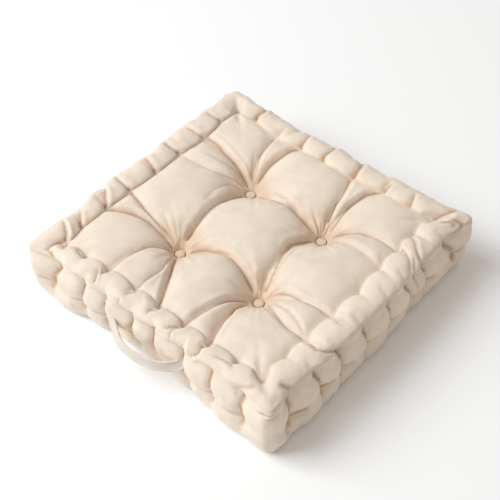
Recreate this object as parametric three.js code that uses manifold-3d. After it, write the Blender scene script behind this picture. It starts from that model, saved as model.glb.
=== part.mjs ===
// A square floor cushion: a filled cloth box whose top and bottom are drawn in by four covered
// buttons each, with a stitched roll round both edges and a cloth strap on the front side.
// Millimetres, +Z up. The origin is on the floor under the cushion's middle, the strap is on -Y.
import * as THREE from "three";
import { mergeVertices } from "three/addons/utils/BufferGeometryUtils.js";
import Module from "manifold-3d";

const wasm = await Module();
wasm.setup();

// Stitching
const PITCH = 47.6; // from one stitch of a row to the next
const INTERVALS = 8; // stitch intervals along a side, from corner to corner
const LAST = INTERVALS / 2 - 0.5; // the last stitch of a side row, in pitches from the middle
const STITCH_REACH = 9; // how far along the cloth a stitch draws it in

// Filled panels
const CROWN = 103.5; // the height that the top swells to, away from any stitch
const EDGE_SOFTNESS = 13; // how quickly the panel rises from its stitch line
const TUFT_SINK = 38; // how far a button draws the panel down
const TUFT_SOFTNESS = 25; // how quickly the panel rises round a button
const FOLD_START = 26; // from the button, where a fold reaches its full depth
const SETTLE = 6; // how far the floor flattens the bottom panel

// Buttons
const BUTTON_RADIUS = 8;
const BUTTON_HEIGHT = 5;
const BUTTON_SEGMENTS = 18;
const CUP_RADIUS = 9; // flat seat that the button presses into the cloth
const SEAT_GAP = 0.3; // between two pieces that touch

// Strap
const STRAP_WIDTH = 18;
const STRAP_THICKNESS = 2.6;
const STRAP_BEVEL = 0.7;
const STRAP_STEPS = 36;

// Mesh
const COLUMNS_PER_PITCH = 4;
const CORNER_COLUMNS = 4; // in the half pitch next to a corner
const MIDLINE_STEPS = 5; // from the middle to a fold between buttons, and on to the stitch line
const TOP_ROWS = 8;
const BOTTOM_ROWS = 4;
const FOLD_STEPS = 12;
const MERGE_DISTANCE = 1e-4; // corners closer than this are one

// Colours
const COVER_COLOUR = 0xeedcc8;
const STRAP_COLOUR = 0xf0e3d2;
const BUTTON_COLOUR = 0xe6cfb4;

// The four sides, counterclockwise from above. A side's stitches count from its first corner.
// belly is how far the filling pushes the side out halfway between its corners.
const sides = [
  { name: "front", out: [0, -1], along: [1, 0], belly: 1 },
  { name: "right", out: [1, 0], along: [0, 1], belly: 9 },
  { name: "back", out: [0, 1], along: [-1, 0], belly: 2 },
  { name: "left", out: [-1, 0], along: [0, -1], belly: 2 },
];

// How far stitches 1 to 7 of the top line stray along their side and outwards, as sewn by hand.
const stitchDrift = [
  { side: "front", along: [4, -6, -1, -2, -2, -4, -2], out: [1, -3, -3, 0, 0, 0, 0] },
  { side: "right", along: [0, -7, -2, 5, 11, 11, 3], out: [-4, -3, -1, 1, -2, -4, -6] },
  { side: "back", along: [-2, -3, 2, 11, 7, 5, 8], out: [0, 0, -6, -4, -5, -8, 1] },
  { side: "left", along: [-8, -9, -6, 0, 5, 6, 7], out: [3, -3, 0, -1, 1, 2, 1] },
];

// The corners, each at the start of the side of the same row: where its stitch strays to, and how
// far its ear of cloth stands up and out.
const corners = [
  { name: "front left", x: 7, y: -2, lift: -1, reach: 0 },
  { name: "front right", x: -6, y: -2, lift: 0, reach: 0 },
  { name: "back right", x: -3, y: 0, lift: 5, reach: 3 },
  { name: "back left", x: 0, y: 1, lift: 2, reach: 0 },
];

// The buttons, in the order of the corners.
const tufts = [
  { name: "front_left", x: -65, y: -80 },
  { name: "front_right", x: 81, y: -77 },
  { name: "back_right", x: 75, y: 71 },
  { name: "back_left", x: -66, y: 78 },
];

// Folds that run from a button to a stitch of the top line. bow is how far the fold curves to the
// left of its way.
const stitchFolds = [
  { tuft: "front_left", side: "left", stitch: 6, bow: -14, depth: 13, width: 17 },
  { tuft: "front_left", side: "left", stitch: 5, bow: 2, depth: 10, width: 14 },
  { tuft: "front_left", side: "front", stitch: 2, bow: -12, depth: 7, width: 15 },
  { tuft: "front_left", side: "front", stitch: 3, bow: 10, depth: 7, width: 12 },
  { tuft: "front_left", side: "front", stitch: 4, bow: 0, depth: 12, width: 16 },
  { tuft: "front_right", side: "front", stitch: 5, bow: -10, depth: 8, width: 13 },
  { tuft: "front_right", side: "front", stitch: 6, bow: -12, depth: 13, width: 17 },
  { tuft: "front_right", side: "right", stitch: 2, bow: -7, depth: 9, width: 15 },
  { tuft: "front_right", side: "right", stitch: 3, bow: 10, depth: 8, width: 14 },
  { tuft: "back_right", side: "right", stitch: 5, bow: 5, depth: 5, width: 15 },
  { tuft: "back_right", side: "right", stitch: 6, bow: 13, depth: 8, width: 15 },
  { tuft: "back_right", side: "back", stitch: 2, bow: 10, depth: 10, width: 14 },
  { tuft: "back_right", side: "back", stitch: 3, bow: 2, depth: 9, width: 14 },
  { tuft: "back_left", side: "back", stitch: 5, bow: 8, depth: 9, width: 14 },
  { tuft: "back_left", side: "back", stitch: 6, bow: 9, depth: 9, width: 14 },
  { tuft: "back_left", side: "left", stitch: 2, bow: -9, depth: 13, width: 17 },
  { tuft: "back_left", side: "left", stitch: 3, bow: 7, depth: 7, width: 14 },
];

// Folds from each button to the next one counterclockwise, in the order of the buttons.
const tuftFolds = [
  { name: "front", bow: 22, depth: 13, width: 18 },
  { name: "right", bow: 18, depth: 14, width: 18 },
  { name: "back", bow: -4, depth: 13, width: 17 },
  { name: "left", bow: -10, depth: 12, width: 17 },
];

// Sections of the stitched edge, from the top stitch line over the roll and down the side to the
// bottom stitch line. out and up: where the section lies between two stitches, from the middle
// and from the floor. pull and drop: how far the stitches of its row draw it in and down.
// cornerOut, cornerUp and round: its reach, height and plan radius at a corner. sway: its share
// of the stray of the top stitches.
const edgeSections = [
  { name: "top stitch line", row: "line", out: 187, up: 93, pull: -3.4, drop: 5,
    cornerOut: 190, cornerUp: 90, round: 5, sway: 1 },
  { name: "roll, inner foot", row: "line", out: 189, up: 98, pull: -4, drop: 6.5,
    cornerOut: 194, cornerUp: 95, round: 6, sway: 1 },
  { name: "roll, inner shoulder", row: "line", out: 195, up: 101.5, pull: -1, drop: 6,
    cornerOut: 199, cornerUp: 99, round: 7, sway: 0.8 },
  { name: "roll, crest", row: "line", out: 204, up: 102.5, pull: 0, drop: 3.5,
    cornerOut: 207, cornerUp: 101, round: 7, sway: 0.5 },
  { name: "roll, outer shoulder", row: "side", out: 213.5, up: 100, pull: 1, drop: 2,
    cornerOut: 214, cornerUp: 97.5, round: 8, sway: 0.2 },
  { name: "upper seam", row: "side", out: 221, up: 94, pull: 2.5, drop: 1.5,
    cornerOut: 221, cornerUp: 91, round: 8, sway: 0 },
  { name: "roll, outer side", row: "side", out: 223.5, up: 85.5, pull: 4, drop: 0.5,
    cornerOut: 225, cornerUp: 84, round: 14, sway: 0 },
  { name: "roll, under side", row: "side", out: 221.5, up: 77.5, pull: 6, drop: 0,
    cornerOut: 227, cornerUp: 76, round: 18, sway: 0 },
  { name: "upper side row", row: "side", out: 219.5, up: 72, pull: 8, drop: 0,
    cornerOut: 228.5, cornerUp: 69, round: 20, sway: 0 },
  { name: "side, upper bulge", row: "side", out: 223, up: 63, pull: 4.5, drop: 0,
    cornerOut: 229.5, cornerUp: 61, round: 22, sway: 0 },
  { name: "side, middle", row: "side", out: 225, up: 51, pull: 2.5, drop: 0,
    cornerOut: 230, cornerUp: 51, round: 23, sway: 0 },
  { name: "side, lower bulge", row: "side", out: 223.5, up: 39, pull: 4, drop: 0,
    cornerOut: 230, cornerUp: 40, round: 22, sway: 0 },
  { name: "lower side row", row: "side", out: 220, up: 30, pull: 7, drop: 0,
    cornerOut: 229.5, cornerUp: 30, round: 20, sway: 0 },
  { name: "lower roll, upper side", row: "side", out: 222, up: 23, pull: 4.5, drop: 0,
    cornerOut: 228.5, cornerUp: 20, round: 17, sway: 0 },
  { name: "lower roll, outer side", row: "side", out: 222.5, up: 14, pull: 2.5, drop: 0,
    cornerOut: 227, cornerUp: 11, round: 13, sway: 0 },
  { name: "lower seam", row: "side", out: 219, up: 6, pull: 1, drop: 0,
    cornerOut: 223, cornerUp: 4, round: 9, sway: 0 },
  { name: "lower roll, sole", row: "line", out: 207, up: 0, pull: 0, drop: 0,
    cornerOut: 210, cornerUp: 0, round: 8, sway: 0.5 },
  { name: "lower roll, inner shoulder", row: "line", out: 195, up: 1.5, pull: -1, drop: -2,
    cornerOut: 199, cornerUp: 1.5, round: 7, sway: 0.8 },
  { name: "bottom stitch line", row: "line", out: 187, up: 6, pull: -3.4, drop: -4,
    cornerOut: 190, cornerUp: 8, round: 5, sway: 1 },
];

// The strap's way: from the seat at its left end, out and down in a sagging loop, to the seat at
// its right end. along and out are from the cushion's middle, turn is how far the band's width
// leans outwards from upright, in degrees, and gather is the share of the width left where the
// cloth is gathered.
const strapStations = [
  { along: -75, out: 206, up: 73, turn: 10, gather: 0.4 },
  { along: -75, out: 217, up: 72, turn: 20, gather: 0.45 },
  { along: -69, out: 222, up: 69, turn: 32, gather: 0.75 },
  { along: -57, out: 228, up: 64, turn: 36, gather: 1 },
  { along: -43, out: 236, up: 59, turn: 32, gather: 1 },
  { along: -26, out: 243, up: 54, turn: 22, gather: 1 },
  { along: -10, out: 246, up: 51, turn: 2, gather: 1 },
  { along: 10, out: 246, up: 51, turn: -6, gather: 1 },
  { along: 33, out: 243, up: 52.5, turn: -8, gather: 1 },
  { along: 50, out: 238, up: 56, turn: -6, gather: 1 },
  { along: 63, out: 231, up: 61, turn: 0, gather: 0.95 },
  { along: 73, out: 221, up: 69, turn: 8, gather: 0.5 },
  { along: 74, out: 206, up: 73, turn: 10, gather: 0.4 },
];

const lerp = THREE.MathUtils.lerp;
const smoothstep = THREE.MathUtils.smoothstep;
const RING = sides.length * INTERVALS; // stitches of the top line, all the way round

// Where the stitch at whole number s of the top line strays to, as a plan vector.
function strayOf(s) {
  const turn = ((s % RING) + RING) % RING;
  const sideIndex = Math.floor(turn / INTERVALS);
  const stitch = turn % INTERVALS;
  if (stitch === 0) return new THREE.Vector2(corners[sideIndex].x, corners[sideIndex].y);
  const { along, out } = sides[sideIndex];
  const drift = stitchDrift[sideIndex];
  return new THREE.Vector2()
    .addScaledVector(new THREE.Vector2(...along), drift.along[stitch - 1])
    .addScaledVector(new THREE.Vector2(...out), drift.out[stitch - 1]);
}

// How strongly the nearest stitch of a row draws the cloth in, from 0 to 1. The row on the top line
// has a stitch at each whole number, and the rows on the side are half a pitch on from it.
function stitchDraw(row, s) {
  const place = row === "line" ? s : s - 0.5;
  const distance = Math.abs(place - Math.round(place)) * PITCH;
  return Math.exp(-distance / STITCH_REACH);
}

// The way round half a corner, from the last stitch of a side row (share 0) to the corner (share 1),
// on an outline at distance n from the middle: straight on, then round the corner's arc.
function turnCorner(share, n, round) {
  const start = LAST * PITCH;
  const straight = n - round - start;
  const length = share * (straight + round * (Math.PI / 4));
  const angle = Math.max(0, (length - straight) / round);
  const a = start + Math.min(length, straight) + round * Math.sin(angle);
  return { a, o: n - round * (1 - Math.cos(angle)) };
}

// The point at place s round the cushion, counted in stitches, on one section of the edge.
function edgePoint(section, s) {
  const turn = ((s % RING) + RING) % RING;
  const sideIndex = Math.floor(turn / INTERVALS);
  const { along, out, belly } = sides[sideIndex];
  const fromMiddle = (turn % INTERVALS) - INTERVALS / 2;
  const share = Math.max(0, (Math.abs(fromMiddle) - LAST) / (INTERVALS / 2 - LAST));
  const towardsCorner = smoothstep(share, 0, 1);
  const corner = corners[fromMiddle < 0 ? sideIndex : (sideIndex + 1) % sides.length];
  const rowEnds = section.row === "side" ? 1 - towardsCorner : 1;
  const draw = stitchDraw(section.row, s) * rowEnds;
  const isTop = section.up > CROWN / 2;
  const reach = isTop ? corner.reach * (1 - section.sway) : 0;
  const lift = isTop ? corner.lift * (section.up / CROWN) * (1 - section.sway) : 0;
  const swell = belly * (1 - section.sway) * (1 - (fromMiddle / (INTERVALS / 2)) ** 2);
  const edge = section.out + swell - section.pull * draw;
  const n = lerp(edge, section.cornerOut + reach, towardsCorner);
  const up = lerp(section.up, section.cornerUp + lift, towardsCorner) - section.drop * draw;
  const onSide = { a: Math.abs(fromMiddle) * PITCH, o: n };
  const { a, o } = share > 0 ? turnCorner(share, n, section.round) : onSide;
  const whole = Math.floor(s);
  const stray = strayOf(whole).lerp(strayOf(whole + 1), s - whole).multiplyScalar(section.sway);
  const plan = new THREE.Vector2()
    .addScaledVector(new THREE.Vector2(...along), a * Math.sign(fromMiddle))
    .addScaledVector(new THREE.Vector2(...out), o)
    .add(stray);
  return new THREE.Vector3(plan.x, plan.y, up);
}

// The places of the mesh columns round the edge, in stitches. They are closer near a corner.
function columnPlaces() {
  const places = [];
  const corner = 0.5 / CORNER_COLUMNS;
  for (let side = 0; side < sides.length; side++) {
    const start = side * INTERVALS;
    for (let i = 0; i < CORNER_COLUMNS; i++) places.push(start + i * corner);
    const inner = (INTERVALS - 1) * COLUMNS_PER_PITCH;
    for (let i = 0; i < inner; i++) places.push(start + 0.5 + i / COLUMNS_PER_PITCH);
    for (let i = 0; i < CORNER_COLUMNS; i++) places.push(start + INTERVALS - 0.5 + i * corner);
  }
  return places;
}

const places = columnPlaces();
const COLUMNS_PER_SIDE = places.length / sides.length;
const topLine = places.map((s) => edgePoint(edgeSections[0], s));
const bottomLine = places.map((s) => edgePoint(edgeSections.at(-1), s));

// A curve in plan between two points, bowed to the left of its way by the given distance.
function bowedCurve(from, to, bow) {
  const way = to.clone().sub(from).normalize();
  const left = new THREE.Vector2(-way.y, way.x);
  const middle = from.clone().lerp(to, 0.5).addScaledVector(left, 2 * bow);
  return new THREE.QuadraticBezierCurve(from, middle, to);
}

const tuftPoint = (tuft) => new THREE.Vector2(tuft.x, tuft.y);

const foldsToStitches = stitchFolds.map((row) => {
  const tuftIndex = tufts.findIndex((tuft) => tuft.name === row.tuft);
  const place = sides.findIndex((side) => side.name === row.side) * INTERVALS + row.stitch;
  const rim = edgePoint(edgeSections[0], place);
  const curve = bowedCurve(tuftPoint(tufts[tuftIndex]), new THREE.Vector2(rim.x, rim.y), row.bow);
  return { ...row, tuftIndex, place, curve, points: curve.getPoints(FOLD_STEPS) };
});

const foldsBetweenTufts = tuftFolds.map((row, index) => {
  const next = tufts[(index + 1) % tufts.length];
  const curve = bowedCurve(tuftPoint(tufts[index]), tuftPoint(next), row.bow);
  return { ...row, curve, points: curve.getPoints(FOLD_STEPS) };
});

// The nearest point of a line of points in plan: its distance, and its height where it has one.
function nearest(line, x, y, closed = false) {
  let best = { distance: Infinity, up: 0 };
  const count = closed ? line.length : line.length - 1;
  for (let i = 0; i < count; i++) {
    const a = line[i];
    const b = line[(i + 1) % line.length];
    const dx = b.x - a.x;
    const dy = b.y - a.y;
    const t = THREE.MathUtils.clamp(((x - a.x) * dx + (y - a.y) * dy) / (dx * dx + dy * dy), 0, 1);
    const distance = Math.hypot(x - a.x - t * dx, y - a.y - t * dy);
    if (distance < best.distance) best = { distance, up: lerp(a.z ?? 0, b.z ?? 0, t) };
  }
  return best;
}

// How far the buttons and the folds draw the cloth in at a point of the panel.
function sinkAt(x, y) {
  const fromTufts = tufts.map((tuft) => Math.max(0, Math.hypot(x - tuft.x, y - tuft.y) - CUP_RADIUS));
  const toTuft = Math.min(...fromTufts);
  const tuftSink = TUFT_SINK * Math.exp(-toTuft / TUFT_SOFTNESS);
  let foldSink = 0;
  for (const fold of [...foldsToStitches, ...foldsBetweenTufts]) {
    const sink = fold.depth * Math.exp(-nearest(fold.points, x, y).distance / fold.width);
    foldSink = Math.max(foldSink, sink);
  }
  return tuftSink + foldSink * smoothstep(toTuft, 0, FOLD_START);
}

// The height of the top panel or the bottom panel at a point inside its stitch line.
function panelHeight(x, y, isTop) {
  const edge = nearest(isTop ? topLine : bottomLine, x, y, true);
  const rise = 1 - Math.exp(-edge.distance / EDGE_SOFTNESS);
  const sink = sinkAt(x, y);
  const inside = isTop ? CROWN - sink : Math.max(0, sink - SETTLE);
  return lerp(edge.up, inside, rise);
}

// The plan points from the middle of the panel to the stitch line between two buttons' quarters,
// by way of the middle of the fold that joins the two buttons.
function midline(index, line) {
  const fold = foldsBetweenTufts[index].curve.getPoint(0.5);
  const end = line[(index * COLUMNS_PER_SIDE + COLUMNS_PER_SIDE / 2) % line.length];
  const rim = new THREE.Vector2(end.x, end.y);
  const points = [];
  for (let i = 0; i < MIDLINE_STEPS; i++) {
    points.push(new THREE.Vector2().lerp(fold, i / MIDLINE_STEPS));
  }
  for (let i = 0; i < MIDLINE_STEPS; i++) points.push(fold.clone().lerp(rim, i / MIDLINE_STEPS));
  return points;
}

// How far the mesh columns from a button to a place on the stitch line bow to their left.
function bowAt(tuftIndex, place) {
  const middle = tuftIndex * INTERVALS;
  const half = INTERVALS / 2;
  const offset = place - middle - RING * Math.round((place - middle) / RING);
  const known = foldsToStitches
    .filter((fold) => fold.tuftIndex === tuftIndex)
    .map((fold) => ({ bow: fold.bow, offset: ((fold.place - middle + RING + half) % RING) - half }))
    .filter((fold) => Math.abs(fold.offset) < half);
  known.push({ bow: 0, offset: -half }, { bow: 0, offset: half });
  known.sort((a, b) => a.offset - b.offset);
  const after = known.findIndex((fold) => fold.offset >= offset);
  if (after <= 0) return 0;
  const [a, b] = [known[after - 1], known[after]];
  return lerp(a.bow, b.bow, (offset - a.offset) / (b.offset - a.offset));
}

// The rim of one button's quarter of a panel, counterclockwise from the panel's middle.
function quarterRim(index, line) {
  const half = COLUMNS_PER_SIDE / 2;
  const before = midline((index + sides.length - 1) % sides.length, line);
  const after = midline(index, line);
  const rim = before.map((point) => ({ point, bow: 0 }));
  for (let i = -half; i <= half; i++) {
    const column = (index * COLUMNS_PER_SIDE + i + line.length) % line.length;
    const point = new THREE.Vector2(line[column].x, line[column].y);
    rim.push({ point, bow: bowAt(index, places[column]), up: line[column].z });
  }
  for (const point of after.slice(1).reverse()) rim.push({ point, bow: 0 });
  return rim;
}

// One button's quarter of a panel as triangles: a fan over the button's seat, then rows out to the
// rim, on columns that follow the folds.
function quarter(index, rows, isTop, triangles) {
  const line = isTop ? topLine : bottomLine;
  const tuft = tuftPoint(tufts[index]);
  const lifted = (point) => new THREE.Vector3(point.x, point.y, panelHeight(point.x, point.y, isTop));
  const columns = quarterRim(index, line).map(({ point, bow, up }) => {
    const way = point.clone().sub(tuft);
    const seat = tuft.clone().addScaledVector(way.clone().normalize(), CUP_RADIUS);
    const curve = bowedCurve(seat, point, bow);
    const column = [lifted(seat)];
    for (let row = 1; row < rows; row++) column.push(lifted(curve.getPoint(row / rows)));
    column.push(up === undefined ? lifted(point) : new THREE.Vector3(point.x, point.y, up));
    return column;
  });
  const middle = lifted(tuft);
  columns.forEach((column, i) => {
    const next = columns[(i + 1) % columns.length];
    addTriangle(triangles, isTop, middle, column[0], next[0]);
    for (let row = 0; row < rows; row++) {
      addTriangle(triangles, isTop, column[row], column[row + 1], next[row + 1]);
      addTriangle(triangles, isTop, column[row], next[row + 1], next[row]);
    }
  });
}

function addTriangle(triangles, facesUp, a, b, c) {
  triangles.push(a, ...(facesUp ? [b, c] : [c, b]));
}

// A closed geometry from triangles whose shared corners are merged.
function closedGeometry(triangles) {
  const geometry = new THREE.BufferGeometry().setFromPoints(triangles);
  return mergeVertices(geometry, MERGE_DISTANCE);
}

function cushionGeometry() {
  const triangles = [];
  tufts.forEach((_, index) => quarter(index, TOP_ROWS, true, triangles));
  tufts.forEach((_, index) => quarter(index, BOTTOM_ROWS, false, triangles));
  const rows = edgeSections.map((section) => places.map((s) => edgePoint(section, s)));
  for (let row = 0; row + 1 < rows.length; row++) {
    places.forEach((_, column) => {
      const next = (column + 1) % places.length;
      const upper = rows[row];
      const lower = rows[row + 1];
      addTriangle(triangles, true, upper[column], lower[column], lower[next]);
      addTriangle(triangles, true, upper[column], lower[next], upper[next]);
    });
  }
  return closedGeometry(triangles);
}

// A domed button, with its flat back at height 0.
function buttonGeometry() {
  const profile = [
    [0, 0],
    [0.85, 0],
    [1, 0.2],
    [1, 0.5],
    [0.86, 0.78],
    [0.5, 0.96],
    [0, 1],
  ];
  const points = profile.map(([r, h]) => new THREE.Vector2(r * BUTTON_RADIUS, h * BUTTON_HEIGHT));
  return new THREE.LatheGeometry(points, BUTTON_SEGMENTS).rotateX(Math.PI / 2);
}

// The band of cloth through the strap's stations, closed at both ends.
function strapGeometry() {
  const way = new THREE.CatmullRomCurve3(
    strapStations.map(({ along, out, up }) => new THREE.Vector3(along, -out, up)),
    false,
    "centripetal",
  );
  const across = 0.5 - STRAP_BEVEL / STRAP_WIDTH;
  const deep = 0.5 - STRAP_BEVEL / STRAP_THICKNESS;
  const outline = [
    [-0.5, -deep],
    [-across, -0.5],
    [across, -0.5],
    [0.5, -deep],
    [0.5, deep],
    [across, 0.5],
    [-across, 0.5],
    [-0.5, deep],
  ];
  const rings = [];
  for (let step = 0; step <= STRAP_STEPS; step++) {
    const t = step / STRAP_STEPS;
    const along = t * (strapStations.length - 1);
    const station = Math.min(Math.floor(along), strapStations.length - 2);
    const share = along - station;
    const [a, b] = [strapStations[station], strapStations[station + 1]];
    const gather = lerp(a.gather, b.gather, share);
    const turn = THREE.MathUtils.degToRad(lerp(a.turn, b.turn, share));
    const centre = way.getPoint(t);
    const tangent = way.getTangent(t);
    const upright = new THREE.Vector3(0, 0, 1).projectOnPlane(tangent).normalize();
    const width = upright.clone().applyAxisAngle(tangent, turn);
    const face = new THREE.Vector3().crossVectors(tangent, width);
    const thickness = STRAP_THICKNESS * (2 - gather);
    rings.push(
      outline.map(([w, h]) =>
        centre
          .clone()
          .addScaledVector(width, w * STRAP_WIDTH * gather)
          .addScaledVector(face, h * thickness),
      ),
    );
  }
  return loftGeometry(rings);
}

// A closed body through rings of points, each ring clockwise as seen along the way.
function loftGeometry(rings) {
  const triangles = [];
  const count = rings[0].length;
  for (let i = 0; i + 1 < rings.length; i++) {
    for (let j = 0; j < count; j++) {
      const k = (j + 1) % count;
      addTriangle(triangles, true, rings[i][j], rings[i][k], rings[i + 1][k]);
      addTriangle(triangles, true, rings[i][j], rings[i + 1][k], rings[i + 1][j]);
    }
  }
  for (let j = 1; j + 1 < count; j++) {
    const [first, last] = [rings[0], rings.at(-1)];
    addTriangle(triangles, false, first[0], first[j], first[j + 1]);
    addTriangle(triangles, true, last[0], last[j], last[j + 1]);
  }
  return closedGeometry(triangles);
}

function toManifold(geometry) {
  const vertProperties = new Float32Array(geometry.attributes.position.array);
  const triVerts = new Uint32Array(geometry.index.array);
  return new wasm.Manifold(new wasm.Mesh({ numProp: 3, vertProperties, triVerts }));
}

function fromManifold(solid) {
  const { vertProperties, triVerts } = solid.getMesh();
  const geometry = new THREE.BufferGeometry();
  geometry.setAttribute("position", new THREE.BufferAttribute(new Float32Array(vertProperties), 3));
  geometry.setIndex(new THREE.BufferAttribute(new Uint32Array(triVerts), 1));
  return geometry;
}

// The strap's ends reach into the stitched hollows of the side, and are trimmed to fit there.
function trimmedStrap(cushion) {
  const side = toManifold(cushion).translate([0, -2 * SEAT_GAP, 0]);
  return fromManifold(toManifold(strapGeometry()).subtract(side));
}

const cotton = (color) => new THREE.MeshStandardMaterial({ color, roughness: 0.85, metalness: 0 });

function named(name, geometry, color) {
  const mesh = new THREE.Mesh(geometry, cotton(color));
  mesh.name = name;
  return mesh;
}

const pillow = new THREE.Group();
const cushion = cushionGeometry();
pillow.add(named("cushion", cushion, COVER_COLOUR));
pillow.add(named("strap", trimmedStrap(cushion), STRAP_COLOUR));
for (const { name, x, y } of tufts) {
  const top = named(`button_top_${name}`, buttonGeometry(), BUTTON_COLOUR);
  top.position.set(x, y, panelHeight(x, y, true) + SEAT_GAP);
  const under = named(`button_under_${name}`, buttonGeometry(), BUTTON_COLOUR);
  under.rotation.x = Math.PI;
  under.position.set(x, y, panelHeight(x, y, false) - SEAT_GAP);
  pillow.add(top, under);
}

export default pillow;
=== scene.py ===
"""Dresses the square floor pillow: its cotton cover, covered buttons, carrying strap and studio.

Sizes are in millimetres and become metres where a mesh is made. The cushion lies on the floor with
its middle at the origin, +Z up, and its strap on the side that faces -Y.
"""

import logging
import math
from dataclasses import dataclass, field
from enum import Enum

import bpy
import numpy as np
from mathutils import Matrix, Vector
from mathutils.kdtree import KDTree

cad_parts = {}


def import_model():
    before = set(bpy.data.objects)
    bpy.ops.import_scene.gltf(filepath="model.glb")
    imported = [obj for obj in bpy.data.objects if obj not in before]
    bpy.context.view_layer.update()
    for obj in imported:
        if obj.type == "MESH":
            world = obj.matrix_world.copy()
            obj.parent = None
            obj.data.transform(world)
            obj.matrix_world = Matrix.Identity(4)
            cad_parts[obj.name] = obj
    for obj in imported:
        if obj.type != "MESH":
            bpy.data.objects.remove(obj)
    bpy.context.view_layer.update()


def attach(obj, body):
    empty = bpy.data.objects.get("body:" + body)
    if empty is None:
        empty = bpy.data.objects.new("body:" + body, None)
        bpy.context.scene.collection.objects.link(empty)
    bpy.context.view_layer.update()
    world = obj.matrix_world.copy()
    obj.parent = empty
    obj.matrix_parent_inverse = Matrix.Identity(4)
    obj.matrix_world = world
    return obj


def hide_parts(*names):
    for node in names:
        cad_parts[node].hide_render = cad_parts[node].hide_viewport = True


MM = 0.001
LIP_SHARE = 0.6  # of a crease's width, on the side of its ridge
SLOPE_SHARE = 1.5  # and on the other side
GATHER_SHARE = 0.96  # how far mesh points on a crease are drawn to it
GATHER_REACH = 2.3  # how far from a crease mesh points are drawn to it
CREASE_ROUND = 0.5  # how far a crease's bottom is rounded
SHADE_LINE_WIDTH = 1.15  # of the painted shade line along a crease's bottom
SHADE_LINE_DEPTH = 3.2  # of a crease whose painted shade line is fully dark
LIP_SPREAD = 0.55  # of a ridge, as a share of its distance from the crease
GATHER_FADE = 4.0  # over which the drawing of mesh points starts and ends along a crease
GATHER_MARGIN = 6.0  # round a crease's way, where mesh points may be drawn to it
PAINTED_SUNK_SHADE_RIM = 178.0, 188.0  # from the middle, where the painted sunk shade ends
PAINTED_SUNK_SHADE_DEPTH = 5.0, 34.0  # of cloth that just gets the painted sunk shade, and gets it fully
PAINTED_SHADE_HOLLOWS = ("fold", 5, 1.3), ("hollow", 65, 10.0)  # painted shade mark, rounds of smoothing, and full depth
PAINTED_SHADE_START = 0.12  # of the full depth, where a painted shade mark starts
RELAXED_DARK = 0.02, 0.2  # darkness of a crease where relaxing starts and is full
EDGE_MARGIN = 6  # widths of a crease that it reaches to each side on the edge
PANEL_MARGIN = 5  # and on a panel
LIP_MARGIN = 2  # distances of its ridge that it reaches as well
RIPPLE_COUNT = 4096  # random heights in a ripple's table
RIPPLE_STEPS = 73, 179, 283  # through the table, along each axis
SMALL = 1e-9  # keeps a length from being 0
Array = np.ndarray
Socket = bpy.types.NodeSocket
Span = tuple[float, float]
Triple = tuple[float, float, float]
Numbers = tuple[float, ...]
Curve = tuple[Span, ...]
log = logging.getLogger("floor_pillow")


def lerp(a: Array, b: Array, share: Array) -> Array:
    """Goes from a, where the share is 0, to b, where it is 1."""
    return a + (b - a) * share


def ease(value: Array, low: float, high: float) -> Array:
    """Eases from 0 to 1, with level ends, while a value goes from low to high."""
    share = np.clip((value - low) / (high - low), 0.0, 1.0)
    return share * share * (3.0 - 2.0 * share)


def smooth_between(values: Array, at: Array) -> Array:
    """Reads a smooth curve through evenly spaced values.

    Args:
        values: (n,) or (n, k) values at places 0 to n - 1.
        at: (m,) places from 0 to n - 1.

    Returns:
        (m,) or (m, k) values, on the values themselves at whole places.
    """
    last = len(values) - 1
    start = np.clip(np.floor(at).astype(int), 0, last - 1)
    share = at - start
    if values.ndim > 1:
        share = share[:, None]
    before, a, b, after = (values[np.clip(start + step, 0, last)] for step in (-1, 0, 1, 2))
    slope_a, slope_b = (b - before) / 2.0, (after - a) / 2.0
    square, cube = share**2, share**3
    return (
        a * (2 * cube - 3 * square + 1)
        + slope_a * (cube - 2 * square + share)
        + b * (3 * square - 2 * cube)
        + slope_b * (cube - square)
    )


def ripple(points: Array, size: float, seed: int = 7) -> Array:
    """Gives a smooth random height for each point.

    Args:
        points: (..., 3) points.
        size: how far apart the random heights lie.
        seed: which pattern it is.

    Returns:
        (...) heights from -1 to 1.
    """
    table = np.random.default_rng(seed).uniform(-1, 1, RIPPLE_COUNT)
    cell = np.floor(points / size).astype(int)
    share = points / size - cell
    share = share * share * (3 - 2 * share)
    total = np.zeros(points.shape[:-1])
    for corner in np.ndindex(2, 2, 2):
        at = cell + np.array(corner)
        value = table[(at * RIPPLE_STEPS).sum(axis=-1) % RIPPLE_COUNT]
        weight = np.where(np.array(corner), share, 1 - share).prod(axis=-1)
        total += value * weight
    return total


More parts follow.
